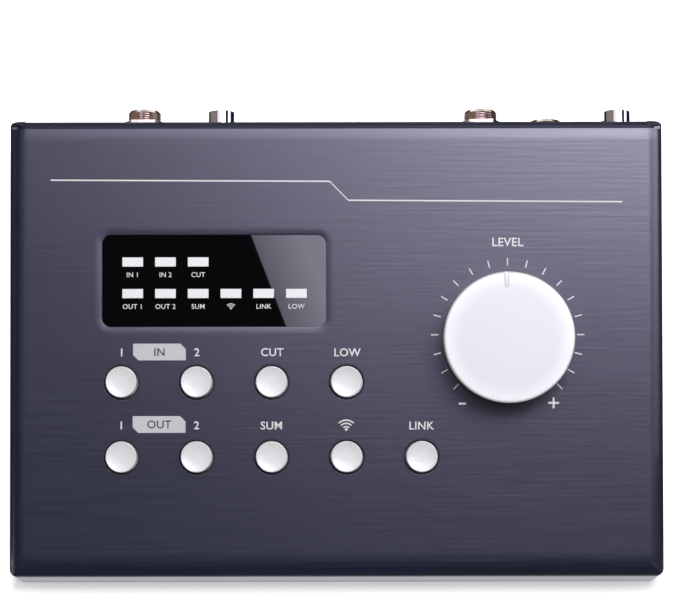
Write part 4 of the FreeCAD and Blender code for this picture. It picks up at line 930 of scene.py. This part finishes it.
# %% Room
ROOM_LIGHT, ROOM_SEEN = 0.4, 1.0
world = bpy.data.worlds.new("white_room")
bpy.context.scene.world = world
world.use_nodes = True
background = world.node_tree.nodes["Background"]
background.inputs["Color"].default_value = (1.0, 1.0, 1.0, 1.0)
brightness = plain_sight(world.node_tree) * (ROOM_SEEN - ROOM_LIGHT) + ROOM_LIGHT
world.node_tree.links.new(brightness.socket, background.inputs["Strength"])
print("room light:", ROOM_LIGHT)

# %% [markdown]
# Gloss shows what hangs round it, so the studio is built for the reflections from flat sheets
# that glow a little. Only glossy rays see any of these, so they neither shade nor light the
# object. hung() hangs one by its corners. Most are level or upright rectangles, for which level()
# and upright() give the corners.

# %% One sheet
COOL, PAPER, WARM = (1.0, 0.95, 1.2), (1.0, 0.97, 1.05), (1.0, 0.8, 0.72)
DARK = 0.02


def level(left, right, front, rear, height):
    """The corners of a rectangle that lies level."""
    corners = ((left, front), (right, front), (right, rear), (left, rear))
    return [(x, y, height) for x, y in corners]


def upright(x, front, rear, low, high):
    """The corners of a rectangle that stands facing left and right."""
    return [(x, front, low), (x, rear, low), (x, rear, high), (x, front, high)]


def hung(name, corners, strength=DARK, colour=COOL, place=PANEL, fade=0.0):
    """A flat sheet with these corners, in millimetres from its place, glowing at this strength.
    Over the width of fade it comes up from half of that, inwards from its first side."""
    mesh = bpy.data.meshes.new(name)
    spots = [place @ (Vector(corner) * MM) for corner in corners]
    mesh.from_pydata(spots, [], [range(len(spots))])
    made = bpy.data.objects.new(name, mesh)
    bpy.context.scene.collection.objects.link(made)
    glow = bpy.data.materials.new(name)
    glow.use_nodes = True
    shader = glow.node_tree.nodes["Principled BSDF"]
    shader.inputs["Base Color"].default_value = (0, 0, 0, 1)
    shader.inputs["Specular IOR Level"].default_value = 0.0
    shader.inputs["Emission Color"].default_value = (*colour, 1)
    shader.inputs["Emission Strength"].default_value = strength
    if fade:
        first, second = spots[:2]
        inwards = (second - first).cross(place.to_3x3() @ Vector((0, 0, -1))).normalized()
        spot = Wire(glow.node_tree).node("ShaderNodeTexCoord", output="Object")
        reach = spot.vector("DOT_PRODUCT", spot, inwards, output="Value")
        start = first.dot(inwards)
        rising = reach.node("ShaderNodeMapRange", inputs={
            "Value": reach, "From Min": start, "From Max": start + fade * MM,
            "To Min": strength / 2, "To Max": strength})
        glow.node_tree.links.new(rising.socket, shader.inputs["Emission Strength"])
    mesh.materials.append(glow)
    made.visible_camera = made.visible_diffuse = False
    made.visible_shadow = made.visible_transmission = False


print("hung() is ready")

# %% [markdown]
# Dark cloths stand on four sides and hang over the top, which keeps the bends dark, and pale
# sheets hang under the dark ceiling. The strong ones behind the right corner are spread by the
# satin paint into a slow brightening towards that corner. The one with a slanting side is seen in
# the window, where its edge is the slanting line.

# %% Cloths and sheets round the room
FAR, SKIRTING, CEILING, SHEETS = 900.0, -60, 620.0, 600.0
hung("cloth_above", level(-FAR, FAR, -FAR, FAR, CEILING))
around = [(-FAR, -FAR), (FAR, -FAR), (FAR, FAR), (-FAR, FAR)]
for k, name in enumerate(("front", "right", "rear", "left")):
    (a, b), (c, d) = around[k], around[(k + 1) % 4]
    hung("cloth_" + name, [(a, b, SKIRTING), (c, d, SKIRTING), (c, d, CEILING), (a, b, CEILING)])
MIDDLE, RIGHT = 60, 300                     # X of the sides that several sheets share
FRONT, BACK, FAR_BACK = 128, 300, 380       # and their Y
hung("sheet_corner", level(MIDDLE, RIGHT, FRONT, BACK, SHEETS), 10.9)
hung("sheet_window", [(-66, FRONT, SHEETS), (-17, 0, SHEETS), (MIDDLE, 0, SHEETS),
                      (MIDDLE, FRONT, SHEETS)], 2.5, fade=24.0)
hung("sheet_rear", level(-180, MIDDLE, FRONT, FAR_BACK, SHEETS), 2.0)
hung("sheet_behind", [(-110, FAR_BACK, SHEETS), (RIGHT, BACK, SHEETS), (RIGHT, 520, SHEETS),
                      (-110, 520, SHEETS)], 8.0)
hung("sheet_right", level(RIGHT, 880, 150, 470, SHEETS), 5.0)
hung("sheet_edge", level(225, RIGHT, 30, FRONT, SHEETS), 4.5)
hung("sheet_left", level(-520, -240, -100, FAR_BACK, SHEETS), 0.45)
hung("sheet_beside", upright(FAR - 10, 90, 850, 0, SHEETS), 4.0)
print("sheets at", SHEETS, "mm")

# %% [markdown]
# Cloths lie on the table too, close to the case, for the lower halves of the bends and of the
# sockets. A strip of paper right in front of the case draws the line along the front bend, and
# one more cloth stands low at the right.

# %% Cloths on the table
ON_TABLE = Matrix.Translation((0, 0, 0.3 * MM))
CLOTH_SIDE, CLOTH_OUT, PAPER_SIDE, PAPER_FRONT = 108, 600, 107, -100
for side in (-1, 1):
    hung("cloth_beside", level(side * CLOTH_SIDE, side * CLOTH_OUT, -75, 240, 0), place=ON_TABLE)
hung("cloth_in_front", level(-CLOTH_OUT, CLOTH_OUT, -700, PAPER_FRONT, 0), place=ON_TABLE)
hung("paper_in_front", level(-PAPER_SIDE, PAPER_SIDE, PAPER_FRONT, -77, 0), 1.3, PAPER, ON_TABLE)
hung("cloth_low_right", [(150, -220, 0), (150, -25, 0), (150, -45, 220), (150, -220, 220)],
     place=ON_TABLE)
hung("cloth_behind", level(-130, 130, 78, 140, 0), place=ON_TABLE)
print("cloths on the table at", round(ON_TABLE.translation.z / MM, 2), "mm")

# %% [markdown]
# A plated barrel mirrors the whole room in stripes along its length, so each barrel over the rear
# edge has three small cards of its own, placed from its axis. The dark cloth behind the case
# draws its two sides.

# %% Cards over the sockets
BARREL_X, BUSH_RADIUS = (-62.3, -37.3, 47.0, 91.5), 5.4 * MM
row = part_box("jack_bushes")[1]
for x in BARREL_X:
    axis = Matrix.Translation((x * MM, row.y, row.z - BUSH_RADIUS))
    hung("card_right", level(3.8, 10, -7, 9, 7), place=axis)
    hung("card_over", level(-6.6, -1.9, -7, 11, 12), 1.6, place=axis)
    hung("card_left", upright(-9, -7, 9, -0.5, 13), 0.4, WARM, axis)
print("barrels with cards:", len(BARREL_X))

# %% [markdown]
# One round lamp hangs above and a little behind and to the right, which puts the short shadows
# on the lower left. It is kept out of the reflections, where it would be a hard spot.

# %% Lamp
LAMP, LAMP_WIDE, LAMP_POWER = Vector((0.10, 0.18, 1.5)), 0.4, 14.4
bpy.ops.object.light_add(type="AREA")
key = bpy.context.object
key.name = "soft_lamp"
key.data.shape, key.data.size = "DISK", LAMP_WIDE
key.data.energy = LAMP_POWER
key.visible_glossy = False
key.matrix_world = Matrix.Translation(LAMP) @ LAMP.to_track_quat("Z", "Y").to_matrix().to_4x4()
print("lamp at", [round(c, 2) for c in LAMP])

# %% [markdown]
# The camera looks down almost square to the panel from a metre away, through a long lens, so the
# case stays nearly rectangular while the knob still shows a sliver of its side.

# %% Camera
CAMERA_AT, CAMERA_TURN = Vector((0, -20, 1000)) * MM, (8.95, -0.051, -0.107)
LENS, SENSOR = 165.27, 36.0
bpy.ops.object.camera_add(rotation=[math.radians(angle) for angle in CAMERA_TURN])
camera = bpy.context.object
camera.location = PANEL @ CAMERA_AT
camera.data.lens, camera.data.sensor_width = LENS, SENSOR
camera.data.clip_start, camera.data.clip_end = 0.05, 20.0
bpy.context.scene.camera = camera
bpy.context.scene.view_settings.view_transform = "Standard"
print("camera at", [round(c, 4) for c in camera.location])
